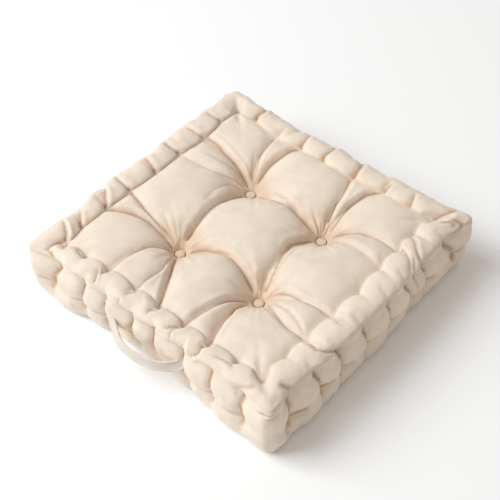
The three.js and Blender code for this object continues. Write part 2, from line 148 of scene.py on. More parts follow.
@dataclass
class Way:
    """A line of plan points that a fold or a seam follows."""

    points: Array

    @classmethod
    def through(cls, places: Curve, steps: int = 6) -> "Way":
        """Makes a smooth way through a few given points.

        Args:
            places: the plan points.
            steps: pieces of the way between two of them.

        Returns:
            The way.
        """
        knots = np.array(places, float)
        at = np.linspace(0, len(knots) - 1, steps * (len(knots) - 1) + 1)
        return cls(smooth_between(knots, at))

    @classmethod
    def bowed(cls, start: Array, end: Array, bow: float, steps: int = 16) -> "Way":
        """Makes a way from start to end that bows to its left by a distance halfway."""
        share = np.linspace(0, 1, steps + 1)
        return cls(bow_points(start[None], end[None], np.array([bow]), share)[0])

    def at(self, along: Array) -> Array:
        """Gives the (n, 2) points that lie (n,) distances along the way."""
        lengths = np.concatenate([[0.0], np.cumsum(np.hypot(*np.diff(self.points, axis=0).T))])
        return np.stack([np.interp(along, lengths, axis) for axis in self.points.T], axis=1)

    def measure(self, xy: Array) -> tuple[Array, Array, float]:
        """Measures plan points against the way.

        Args:
            xy: (n, 2) plan points.

        Returns:
            The distance of each point, positive on the way's left; how far along the way its
            nearest point lies; and the way's whole length.
        """
        a, b = self.points[:-1], self.points[1:]
        step = b - a
        lengths = np.hypot(*step.T)
        starts = np.concatenate([[0.0], np.cumsum(lengths)])
        best = np.full(len(xy), np.inf)
        signed = np.full(len(xy), np.inf)
        along = np.zeros(len(xy))
        for i, length in enumerate(lengths):
            offset = xy - a[i]
            share = np.clip(offset @ step[i] / length**2, 0.0, 1.0)
            rest = offset - share[:, None] * step[i]
            distance = np.hypot(*rest.T)
            closer = distance < best
            best[closer] = distance[closer]
            cross = step[i, 0] * offset[closer, 1] - step[i, 1] * offset[closer, 0]
            signed[closer] = np.where(cross < 0, -1.0, 1.0) * distance[closer]
            along[closer] = starts[i] + share[closer] * length
        return signed, along, float(starts[-1])


def bow_points(start: Array, end: Array, bow: Array, share: Array) -> Array:
    """Reads curves that bow to the left of their way.

    Args:
        start: (n, 2) first plan points.
        end: (n, 2) last plan points.
        bow: (n,) distances halfway, to the left.
        share: (m,) shares of the way.

    Returns:
        (n, m, 2) plan points.
    """
    way = end - start
    length = np.maximum(np.hypot(way[:, 0], way[:, 1]), SMALL)
    left = np.stack([-way[:, 1], way[:, 0]], axis=1) / length[:, None]
    middle = (start + end) / 2 + left * 2 * bow[:, None]
    t = share[None, :, None]
    return (1 - t) ** 2 * start[:, None] + 2 * t * (1 - t) * middle[:, None] + t**2 * end[:, None]


class Side(Enum):
    """The four sides, counterclockwise from above, each with its way out and its way along."""

    FRONT = ((0, -1), (1, 0))
    RIGHT = ((1, 0), (0, 1))
    BACK = ((0, 1), (-1, 0))
    LEFT = ((-1, 0), (0, -1))


SIDES = tuple(Side)
OUT = np.array([side.value[0] for side in SIDES], float)
ALONG = np.array([side.value[1] for side in SIDES], float)


class Tuft(Enum):
    """The buttons' plan places, each beside the corner that starts the side of the same row."""

    FRONT_LEFT = (-65.0, -80.0)
    FRONT_RIGHT = (81.0, -77.0)
    BACK_RIGHT = (75.0, 71.0)
    BACK_LEFT = (-66.0, 78.0)


TUFTS = tuple(Tuft)
TUFT_POINTS = np.array([tuft.value for tuft in TUFTS])


def from_tufts(xy: Array) -> Array:
    """Gives how far each of (n, 2) plan points lies from the nearest button's middle."""
    return np.hypot(*(xy[:, None] - TUFT_POINTS[None]).transpose(2, 0, 1)).min(axis=1)


@dataclass(frozen=True)
class StitchFold:
    """A broad fold from a button to a stitch of the seam line."""

    tuft: Tuft
    side: Side
    stitch: int
    bow: float
    depth: float
    width: float


@dataclass(frozen=True)
class TuftFold:
    """A broad fold from a button to the next one counterclockwise."""

    bow: float
    depth: float
    width: float


@dataclass(frozen=True)
class SideStitch:
    """A stitch of the upper side row and the one of the lower row that its channel runs down to.

    upper and lower are their places round the cushion, and pull and low_pull say how hard they
    draw the cloth in. lean is 1 where the cloth rises slowly after the stitch and -1 where it
    rises slowly before it.
    """

    upper: float
    lower: float
    pull: float = 1.0
    low_pull: float = 1.0
    lean: int = 1


@dataclass(frozen=True)
class Section:
    """A section of the stitched edge.

    out and up place it between two stitches. line_pull and line_drop are how far the stitches of
    the seam line draw it in and down, and side_pull and side_drop the same for the side rows.
    corner_out, corner_up and round are its reach, height and plan radius at a corner, sway its
    share of the stray of the seam line's stitches, overhang how far it bulges inwards and rise how
    far it rises between two stitches, and groove how far the side rows' seams draw it in.
    """

    out: float
    up: float
    line_pull: float
    line_drop: float
    side_pull: float
    side_drop: float
    corner_out: float
    corner_up: float
    round: float
    sway: float
    overhang: float = 0.0
    rise: float = 0.0
    groove: float = 0.0


@dataclass(frozen=True)
class Crease:
    """A sharp crease of a panel, with the ridge that the cloth forms beside it.

    way is its plan points, from the button outwards. depth and width are the valley's, and lip is
    the height of the ridge that lies reach away: on the left of the way where side is 1, on its
    right where side is -1. fade_in and fade_out are the lengths over which it starts and ends.
    """

    way: Curve
    depth: float
    width: float
    lip: float
    side: int
    reach: float
    fade_in: float = 5.0
    fade_out: float = 6.0

    def cut(self, signed: Array, along: Array, length: float) -> tuple[Array, Array]:
        """Gives the valley's depth and the ridge's height beside the crease.

        Args:
            signed: distances from the way, positive on its left.
            along: how far along the way each point lies.
            length: the way's length.

        Returns:
            Depths and heights, both 0 or more.
        """
        fade = self._fade(along, length)
        toward = signed * self.side
        width = np.where(toward > 0, LIP_SHARE, SLOPE_SHARE) * self.width
        away = np.sqrt(signed**2 + CREASE_ROUND**2) - CREASE_ROUND
        valley = self.depth * np.exp(-away / width)
        beside = (toward - self.reach) / (LIP_SPREAD * self.reach)
        return valley * fade, self.lip * np.exp(-(beside**2)) * fade

    def line(self, signed: Array, along: Array, length: float) -> Array:
        """Gives how dark the painted shade along the crease's bottom is, from 0 to 1."""
        deep = min(1.0, self.depth / SHADE_LINE_DEPTH)
        return deep * np.exp(-((signed / SHADE_LINE_WIDTH) ** 2)) * self._fade(along, length)

    def _fade(self, along: Array, length: float) -> Array:
        """Gives the share of its strength that the crease has along its way."""
        return ease(along, 0, self.fade_in) * ease(length - along, 0, self.fade_out)

    def gathered(self, xy: Array, way: "Way") -> Array:
        """Draws mesh points close to the crease towards it, so that the mesh is finest there.

        Args:
            xy: (n, 2) points.
            way: the crease's way in the same plane.

        Returns:
            (n, 2) points.
        """
        signed, along, length = way.measure(xy)
        nearest = way.at(along)
        fade = ease(along, 0, GATHER_FADE) * ease(length - along, 0, GATHER_FADE)
        share = GATHER_SHARE * np.exp(-((signed / GATHER_REACH) ** 2)) * fade
        return lerp(xy, nearest, share[:, None])


@dataclass(frozen=True)
class CushionForm:
    """The form of the cushion: its stitching, its stitched edge and its two tufted panels.

    Stitches are pitch apart, and stitch_reach, quick_reach and slow_reach are how far they draw
    the cloth in. tuft_sink and pinch are the wide and the narrow depth at a button. belly, bulge,
    seam_rise and seam_groove have a value for each side, and the corner_ fields one for each
    corner. drift_along and drift_out place the seam line's stitches. roll_reach and low_reach give
    how far the roll and the low part of a side stray outwards, by place round the cushion, over
    the sections of roll_rows and low_rows, where each starts, is full, fades and ends.
    """

    pitch: float = 47.6
    intervals: int = 8
    stitch_reach: float = 7.0
    crown: float = 103.5
    edge_softness: float = 13.0
    tuft_sink: float = 38.0
    tuft_softness: float = 25.0
    pinch: float = 2.5
    pinch_softness: float = 4.0
    cup_radius: float = 7.8
    fold_start: float = 26.0
    fold_blend: float = 4.0
    settle: float = 6.0
    belly: Numbers = (1.0, 9.0, 2.0, 2.0)
    bulge: Numbers = (0.4, 0.85, 0.5, 0.6)
    seam_rise: Numbers = (4.0, 0.5, 2.0, 2.0)
    seam_groove: Numbers = (0.12, 0.25, 0.35, 0.3)
    drift_along: tuple[Numbers, ...] = (
        (4, -6, -1, -2, -2, -4, -2),
        (0, -7, -2, 5, 11, 11, 3),
        (-2, -3, 2, 11, 7, 5, 8),
        (-8, -9, -6, 0, 5, 6, 7),
    )
    drift_out: tuple[Numbers, ...] = (
        (1, -3, -3, 0, 0, 0, 0),
        (-4, -3, -1, 1, -2, -4, -6),
        (0, 0, -6, -4, -5, -8, 1),
        (3, -3, 0, -1, 1, 2, 1),
    )
    corner_stray: Curve = ((7, -2), (-6, -2), (-3, 0), (0, 1))
    corner_lift: Numbers = (-1, 2, 5, 2)
    corner_reach: Numbers = (0, 0, 3, 0)
    stitch_folds: tuple[StitchFold, ...] = tuple(StitchFold(*row) for row in (
        (Tuft.FRONT_LEFT, Side.LEFT, 6, -14, 12, 13),
        (Tuft.FRONT_LEFT, Side.LEFT, 5, 2, 9, 11),
        (Tuft.FRONT_LEFT, Side.FRONT, 2, -12, 6, 12),
        (Tuft.FRONT_LEFT, Side.FRONT, 3, 10, 6, 9),
        (Tuft.FRONT_LEFT, Side.FRONT, 4, 0, 11, 12),
        (Tuft.FRONT_RIGHT, Side.FRONT, 5, -10, 7, 10),
        (Tuft.FRONT_RIGHT, Side.FRONT, 6, -12, 12, 13),
        (Tuft.FRONT_RIGHT, Side.RIGHT, 2, -7, 8, 12),
        (Tuft.FRONT_RIGHT, Side.RIGHT, 3, 10, 7, 11),
        (Tuft.BACK_RIGHT, Side.RIGHT, 5, 5, 4, 12),
        (Tuft.BACK_RIGHT, Side.RIGHT, 6, 13, 7, 12),
        (Tuft.BACK_RIGHT, Side.BACK, 2, 10, 9, 11),
        (Tuft.BACK_RIGHT, Side.BACK, 3, 2, 8, 11),
        (Tuft.BACK_LEFT, Side.BACK, 5, 8, 8, 11),
        (Tuft.BACK_LEFT, Side.BACK, 6, 9, 8, 11),
        (Tuft.BACK_LEFT, Side.LEFT, 2, -9, 12, 13),
        (Tuft.BACK_LEFT, Side.LEFT, 3, 7, 6, 11),
    ))
    tuft_folds: tuple[TuftFold, ...] = tuple(TuftFold(*row) for row in (
        (22, 11, 13), (18, 12, 13), (-4, 11, 12), (-10, 10, 12),
    ))
    sections: tuple[Section, ...] = tuple(Section(*row) for row in (
        (187, 93, -2.5, 3.5, 0, 0, 190, 90, 5, 1, 3.5, 1),
        (189, 98, -3, 4, 0, 0, 194, 95, 6, 1, 4.5, 0.7),
        (195, 101.5, -0.8, 3, 0, 0, 199, 99, 7, 0.8, 2.5, 0.3),
        (204, 102.5, 0, 1.2, 0, 0.5, 208, 100, 6, 0.5),
        (212.5, 100, 0, 0, 0.8, 1, 217, 96, 6, 0.2),
        (219.5, 94, 0, 0, 3, 2, 225, 89.5, 7, 0),
        (220.5, 84.5, 0, 0, 9, 0, 226.5, 82, 11, 0, 0, 0, 2),
        (222.5, 75.5, 0, 0, 9, 0, 228, 74, 16, 0, 0, 0, 0.5),
        (224.5, 66, 0, 0, 8, 0, 229.5, 65, 17, 0),
        (225.5, 57, 0, 0, 8, 0, 230, 56, 18, 0),
        (225, 48, 0, 0, 8.5, 0, 230, 48, 18, 0, 0, 0, 0.5),
        (223, 39.5, 0, 0, 9, 0, 230, 40, 17, 0, 0, 0, 3),
        (224, 31, 0, 0, 8, 0, 229.5, 31, 17, 0, 0, 0, 0.5),
        (224, 22, 0, 0, 6.5, 0, 228.5, 21, 17, 0),
        (222.5, 13, 0, 0, 4.5, 0, 226.5, 11, 13, 0),
        (218, 5, 0, 0, 2, 0, 222.5, 4, 9, 0),
        (207, 0, 0, 0, 0, 0, 210, 0, 8, 0.5),
        (195, 1.5, -1, -2, 0, 0, 199, 1.5, 7, 0.8),
        (187, 6, -3.4, -4, 0, 0, 190, 8, 5, 1),
    ))
    upper_row: int = 6
    lower_row: int = 11
    quick_reach: float = 5.0
    slow_reach: float = 15.0
    bulge_power: float = 0.8
    roll_rows: Numbers = (1.5, 3.5, 8.0, 12.0)
    low_rows: Numbers = (9.0, 12.5, 15.5, 17.0)
    side_stitches: tuple[SideStitch, ...] = tuple(SideStitch(*row) for row in (
        (0.58, 0.36, 0.9, 0.8, -1), (1.58, 1.5, 0.7, 0.8, -1), (2.46, 2.42, 0.8, 0.8, -1),
        (3.5, 3.6, 0.9, 0.9, -1), (4.32, 4.5, 0.8, 0.8, -1), (5.44, 5.6, 1.0, 0.8, -1),
        (6.5, 6.6, 0.7, 0.7, -1), (7.58, 7.6, 0.6, 0.7, -1), (8.31, 8.32, 1.2, 0.9, 1),
        (9.2, 9.46, 0.9, 1.0, 1), (10.2, 10.32, 1.1, 1.1, 1), (11.3, 11.46, 0.9, 0.9, 1),
        (12.5, 12.55, 0.9, 0.8, 1), (13.36, 13.74, 0.8, 0.8, 1), (13.84, 14.0, 0.5, 0.2, 1),
        (14.34, 14.52, 1.0, 1.0, 1), (15.48, 15.74, 0.9, 0.9, 1), (16.45, 16.3, 0.7, 0.8, 1),
        (17.42, 17.5, 0.8, 0.7, 1), (18.56, 18.5, 1.0, 0.9, 1), (19.5, 19.62, 0.9, 0.9, 1),
        (20.44, 20.4, 0.7, 0.8, 1), (21.6, 21.66, 1.0, 1.0, 1), (22.5, 22.44, 0.8, 0.8, 1),
        (23.54, 23.7, 0.9, 0.8, 1), (24.46, 24.3, 0.8, 0.8, -1), (25.4, 25.5, 0.9, 0.9, -1),
        (26.56, 26.5, 0.8, 0.8, -1), (27.5, 27.6, 1.0, 0.9, -1), (28.44, 28.4, 0.7, 0.8, -1),
        (29.5, 29.64, 1.0, 1.0, -1), (30.56, 30.46, 0.9, 0.8, -1), (31.54, 31.68, 0.8, 0.9, -1),
    ))
    roll_reach: Curve = (
        (0, 0), (15.5, 0), (16.1, 3), (16.6, 6), (17.0, 3), (17.5, 5), (18.3, -1), (18.6, 3),
        (19.4, 0), (20.0, 3), (20.4, 0), (21.2, -3), (22.0, -2), (22.9, 3), (23.4, 2), (23.8, 4),
        (24.05, 2), (24.3, 7), (26.4, 8), (27.0, 6), (27.7, 3), (28.3, 6), (29.2, 9), (29.8, 5),
        (30.2, 7), (30.7, -1), (31.1, 1.5), (31.4, 4), (31.8, 3), (32, 0),
    )
    low_reach: Curve = (
        (0, -3), (0.15, 1), (0.5, 7), (1.0, 5), (1.4, 0), (2.2, -3), (2.7, -9), (3.1, -7),
        (3.7, -11), (4.6, -13), (5.0, -9), (5.4, -5), (5.7, -6), (6.0, -1), (6.5, 1.5), (7.0, 7),
        (7.5, 7), (7.8, 3), (8.0, 0), (8.2, 5), (8.5, 8), (8.75, 10), (9.0, 7), (9.6, 6),
        (9.9, 2.5), (10.5, 1.5), (11.1, -1), (12.4, 1.5), (13.2, -2), (14.05, -4), (14.4, 0),
        (15.6, 3), (16, 2), (17, 0), (18.6, 3), (20.2, -4), (21.5, 2), (23.5, -2), (25.0, 3),
        (26.6, -3), (28.4, 2), (30.2, -4), (31.4, 2), (32, -3),
    )
    line_strength: Numbers = (
        1.0, 0.8, 0.9, 1.0, 0.8, 1.0, 1.2, 0.8,
        0.35, 0.35, 1.2, 0.6, 0.7, 0.5, 1.2, 1.2,
        1.0, 0.9, 1.2, 1.4, 1.0, 1.2, 0.8, 1.2,
        1.0, 0.7, 0.9, 1.1, 1.2, 0.9, 1.2, 1.1,
    )

    @property
    def ring(self) -> int:
        """The number of stitches of the seam line, all the way round."""
        return len(SIDES) * self.intervals

    @property
    def last_stitch(self) -> float:
        """The last stitch of a side row, in pitches from the side's middle."""
        return self.intervals / 2 - 0.5

    def around(self, gap: Array) -> Array:
        """Gives gaps between two places by the shorter way round, from -ring / 2 to ring / 2."""
        return (gap + self.ring / 2) % self.ring - self.ring / 2

    def stray(self, place: Array) -> Array:
        """Gives how far the seam line's stitches stray in plan.

        Args:
            place: places round the cushion, counted in stitches.

        Returns:
            (..., 2) plan vectors.
        """
        at_stitch = []
        for index in range(self.ring):
            side, stitch = divmod(index, self.intervals)
            if stitch == 0:
                at_stitch.append(np.array(self.corner_stray[side], float))
                continue
            along = ALONG[side] * self.drift_along[side][stitch - 1]
            at_stitch.append(along + OUT[side] * self.drift_out[side][stitch - 1])
        table = np.array(at_stitch)
        whole = np.floor(place).astype(int)
        share = (place - whole)[..., None]
        return lerp(table[whole % self.ring], table[(whole + 1) % self.ring], share)

    def line_draw(self, place: Array) -> Array:
        """Gives how strongly the seam line's stitches draw the cloth in.

        Args:
            place: places counted in stitches.

        Returns:
            Shares, from 0 far from a stitch to its strength at it.
        """
        nearest = np.round(place).astype(int)
        strength = np.array(self.line_strength)[nearest % self.ring]
        return strength * np.exp(-np.abs(place - nearest) * self.pitch / self.stitch_reach)

    def side_draw(self, rows: Array, place: Array) -> Array:
        """Gives how strongly the side rows' stitches draw the cloth in.

        Args:
            rows: places in the list of sections.
            place: places counted in stitches, as many.

        Returns:
            Shares, from 0 far from a stitch to its strength at it.
        """
        down = np.clip((rows - self.upper_row) / (self.lower_row - self.upper_row), 0, 1)
        pulled = np.zeros(place.shape)
        for stitch in self.side_stitches:
            at = lerp(stitch.upper, stitch.lower, down)
            gap = self.around(place - at)
            reach = np.where(gap * stitch.lean > 0, self.slow_reach, self.quick_reach)
            pull = lerp(stitch.pull, stitch.low_pull, down)
            pulled = np.maximum(pulled, pull * np.exp(-np.abs(gap) * self.pitch / reach))
        return pulled

    def edge(self, rows: Array, place: Array) -> Array:
        """Gives points of the stitched edge.

        Args:
            rows: places in the list of sections.
            place: places round the cushion, counted in stitches, as many.

        Returns:
            (..., 3) points.
        """
        names = Section.__dataclass_fields__
        table = np.array([[getattr(section, name) for name in names] for section in self.sections])
        columns = smooth_between(table, rows.ravel()).T.reshape(-1, *rows.shape)
        at = dict(zip(names, columns))
        turn = place % self.ring
        side = np.floor(turn / self.intervals).astype(int) % len(SIDES)
        from_middle = turn % self.intervals - self.intervals / 2
        share = np.clip((np.abs(from_middle) - self.last_stitch) * 2, 0, 1)
        to_corner = ease(share, 0, 1)
        corner = np.where(from_middle < 0, side, (side + 1) % len(SIDES))
        line_draw = self.line_draw(place)
        side_draw = self.side_draw(rows, place) * (1 - to_corner)
        upper = (at["up"] > self.crown / 2) * (1 - at["sway"])
        reach = np.array(self.corner_reach, float)[corner] * upper
        lift = np.array(self.corner_lift, float)[corner] * upper * at["up"] / self.crown
        swell = (1 - at["sway"]) * np.array(self.belly)[side]
        swell = swell * (1 - (from_middle / (self.intervals / 2)) ** 2)
        between = np.sin(np.pi * (place % 1)) ** self.bulge_power * (1 - to_corner)
        n = at["out"] + swell - at["line_pull"] * line_draw
        n = n - at["groove"] * np.array(self.seam_groove)[side]
        n = n - at["overhang"] * between * np.array(self.bulge)[side]
        n = lerp(n, at["corner_out"] + reach, to_corner) - at["side_pull"] * side_draw
        n = n + self._strayed_out(rows, place)
        up = lerp(at["up"], at["corner_up"] + lift, to_corner)
        up = up + at["rise"] * between * np.array(self.seam_rise)[side]
        up = up - at["line_drop"] * line_draw - at["side_drop"] * side_draw
        a, o = self._turn_corner(share, n, at["round"])
        a = np.where(share > 0, a, np.abs(from_middle) * self.pitch) * np.sign(from_middle)
        o = np.where(share > 0, o, n)
        plan = ALONG[side] * a[..., None] + OUT[side] * o[..., None]
        plan = plan + self.stray(place) * at["sway"][..., None]
        return np.concatenate([plan, up[..., None]], axis=-1)

    def _strayed_out(self, rows: Array, place: Array) -> Array:
        """Gives how far the roll's outer edge and the low part of the sides stray outwards.

        Args:
            rows: places in the list of sections.
            place: places counted in stitches, as many.

        Returns:
            Distances outwards, in millimetres.
        """
        strayed = np.zeros(place.shape)
        tables = (self.roll_reach, self.roll_rows), (self.low_reach, self.low_rows)
        for reaches, (start, full, fade, end) in tables:
            reach = np.interp(place % self.ring, *np.array(reaches).T)
            strayed = strayed + reach * ease(rows, start, full) * (1 - ease(rows, fade, end))
        return strayed

    def _turn_corner(self, share: Array, n: Array, radius: Array) -> tuple[Array, Array]:
        """Goes round half a corner, straight on and then round the corner's arc.

        Args:
            share: from 0 at the last stitch of a side row to 1 at the corner.
            n: distance of the outline from the middle.
            radius: plan radius of the corner.

        Returns:
            How far along the side and how far out the place lies.
        """
        start = self.last_stitch * self.pitch
        straight = n - radius - start
        length = share * (straight + radius * math.pi / 4)
        angle = np.maximum(0, (length - straight) / radius)
        return (
            start + np.minimum(length, straight) + radius * np.sin(angle),
            n - radius * (1 - np.cos(angle)),
        )

    def fold_ways(self) -> list[tuple[Way, float, float]]:
        """Gives the way, depth and width of every broad fold.

        Returns:
            A list of ways, depths and widths.
        """
        folds = []
        for fold in self.stitch_folds:
            start = np.array(fold.tuft.value)
            folds.append((Way.bowed(start, self.stitch(fold), fold.bow), fold.depth, fold.width))
        for index, fold in enumerate(self.tuft_folds):
            ends = TUFT_POINTS[index], TUFT_POINTS[(index + 1) % len(TUFTS)]
            folds.append((Way.bowed(*ends, fold.bow), fold.depth, fold.width))
        return folds

    def stitch(self, fold: StitchFold) -> Array:
        """Gives the plan point of the stitch that a fold ends at."""
        return self.edge(np.zeros(1), np.array([self.stitch_place(fold)], float))[0, :2]

    def stitch_place(self, fold: StitchFold) -> int:
        """Gives the place round the cushion of the stitch that a fold ends at."""
        return SIDES.index(fold.side) * self.intervals + fold.stitch

    def sink(self, xy: Array) -> Array:
        """Gives how far the buttons and the broad folds draw a panel in.

        Args:
            xy: (n, 2) plan points.

        Returns:
            (n,) depths.
        """
        to_tuft = np.maximum(from_tufts(xy) - self.cup_radius, 0)
        fold_sink = np.zeros(len(xy))
        for way, depth, width in self.fold_ways():
            distance = np.abs(way.measure(xy)[0])
            fold_sink += (depth * np.exp(-distance / width)) ** self.fold_blend
        fold_sink **= 1 / self.fold_blend
        button_sink = self.tuft_sink * np.exp(-to_tuft / self.tuft_softness)
        button_sink += self.pinch * np.exp(-to_tuft / self.pinch_softness)
        return button_sink + fold_sink * ease(to_tuft, 0, self.fold_start)


CREASES = tuple(Crease(*row) for row in (
    (((-75, 84), (-90, 91), (-109, 98), (-124, 101), (-143, 105), (-164, 109), (-184, 110)),
     5.0, 4.0, 2.2, -1, 7),
    (((-78, 79), (-89, 75), (-103, 68), (-121, 60), (-139, 52), (-150, 46)),
     2.0, 5.0, 0.8, 1, 8, 10, 30),
    (((-90, 86), (-107, 85), (-133, 80), (-155, 76), (-171, 69)),
     1.4, 5.0, 0.6, 1, 8, 12, 30),
    (((-75, 74), (-89, 60), (-94, 44), (-95, 28), (-92, 7), (-88, -13)),
     1.8, 5.0, 0.9, 1, 8, 10, 30),
    (((-68, 69), (-71, 54), (-73, 34), (-75, 14), (-75, -7), (-72, -31), (-69, -64)),
     4.2, 3.6, 1.2, -1, 9, 8, 8),
    (((-73, 88), (-83, 101), (-94, 116), (-104, 132), (-110, 146)),
     1.6, 5.0, 0.7, -1, 8, 8, 34),
    (((-74, 92), (-81, 108), (-91, 128), (-95, 139), (-97, 152), (-100, 167), (-101, 179)),
     2.6, 4.0, 1.4, -1, 7),
    (((-68, 94), (-68, 111), (-68, 129), (-66, 146), (-64, 162), (-61, 176), (-55, 186)),
     3.0, 4.5, 1.2, 1, 8),
    (((-57, 80), (-37, 78), (-17, 76), (13, 77), (30, 75), (42, 75), (55, 73), (66, 71)),
     4.6, 3.6, 1.6, 1, 7, 10, 8),
    (((-32, 89), (-10, 86), (1, 84), (13, 82), (22, 80), (32, 79)),
     1.6, 3.5, 1.4, 1, 7, 12, 12),
    (((70, 82), (64, 94), (59, 106), (56, 116)), 1.6, 4.0, 0.8, 1, 7, 6, 24),
    (((67, 94), (64, 108), (59, 125), (57, 140), (51, 161), (46, 175), (45, 182)),
     3.2, 4.0, 1.6, -1, 8),
    (((78, 86), (79, 101), (77, 117), (77, 135), (80, 151), (83, 167), (89, 178), (95, 188)),
     3.4, 4.0, 1.8, 1, 7),
    (((83, 80), (99, 90), (118, 100), (133, 103), (149, 105), (165, 103), (182, 101)),
     2.6, 4.5, 1.2, 1, 8),
    (((88, 74), (94, 73), (128, 71), (164, 65), (183, 60)), 1.2, 6.0, 0.5, 1, 9, 14, 20),
    (((69, 63), (64, 52), (60, 37), (57, 22), (59, 11), (62, -3), (68, -21), (74, -37),
     (80, -64)),
     4.8, 3.6, 1.0, -1, 8, 8, 8),
    (((72, 52), (70, 30), (71, 4), (76, -26), (84, -56)), 1.4, 4.0, 1.2, -1, 6, 12, 14),
    (((-75, -82), (-96, -79), (-113, -78), (-131, -77), (-145, -79), (-158, -83),
     (-190, -100)),
     5.0, 3.8, 1.8, -1, 7),
    (((-77, -75), (-97, -71), (-107, -71), (-120, -70), (-140, -67), (-158, -62),
     (-193, -52)),
     3.4, 3.4, 1.4, -1, 6),
    (((-77, -73), (-91, -70), (-103, -64), (-116, -57), (-128, -51)),
     1.6, 4.0, 0.8, -1, 7, 8, 30),
    (((-71, -87), (-77, -92), (-89, -109), (-96, -133), (-99, -156), (-99, -176),
     (-103, -186)),
     2.4, 4.5, 1.2, 1, 8),
    (((-66, -90), (-56, -113), (-47, -133), (-46, -148), (-47, -162), (-47, -178),
     (-48, -186)),
     2.6, 4.0, 1.6, 1, 7),
    (((-60, -91), (-49, -110), (-37, -127), (-25, -146), (-10, -171), (-3, -190)),
     4.6, 3.8, 1.8, -1, 8),
    (((-55, -75), (-43, -66), (-29, -60), (-17, -58), (-4, -55), (11, -55), (26, -58),
     (38, -60), (53, -65), (70, -73)), 4.6, 3.6, 2.2, 1, 7, 8, 8),
    (((90, -68), (96, -60), (115, -53), (143, -54), (166, -52), (186, -51)),
     2.6, 4.5, 2.0, 1, 8),
    (((92, -75), (115, -87), (137, -98), (158, -104), (175, -104), (183, -103)),
     2.6, 4.5, 1.2, -1, 8),
    (((100, -73), (111, -76), (122, -79), (142, -84), (161, -91), (177, -99)),
     1.8, 4.0, 1.2, 1, 6, 16, 10),
    (((78, -88), (73, -100), (71, -114), (75, -129), (78, -145), (83, -162), (91, -189)),
     5.0, 3.8, 1.6, 1, 8),
    (((73, -88), (64, -102), (57, -123), (52, -146), (49, -166), (47, -179), (45, -189)),
     3.0, 4.0, 1.4, -1, 8),
))


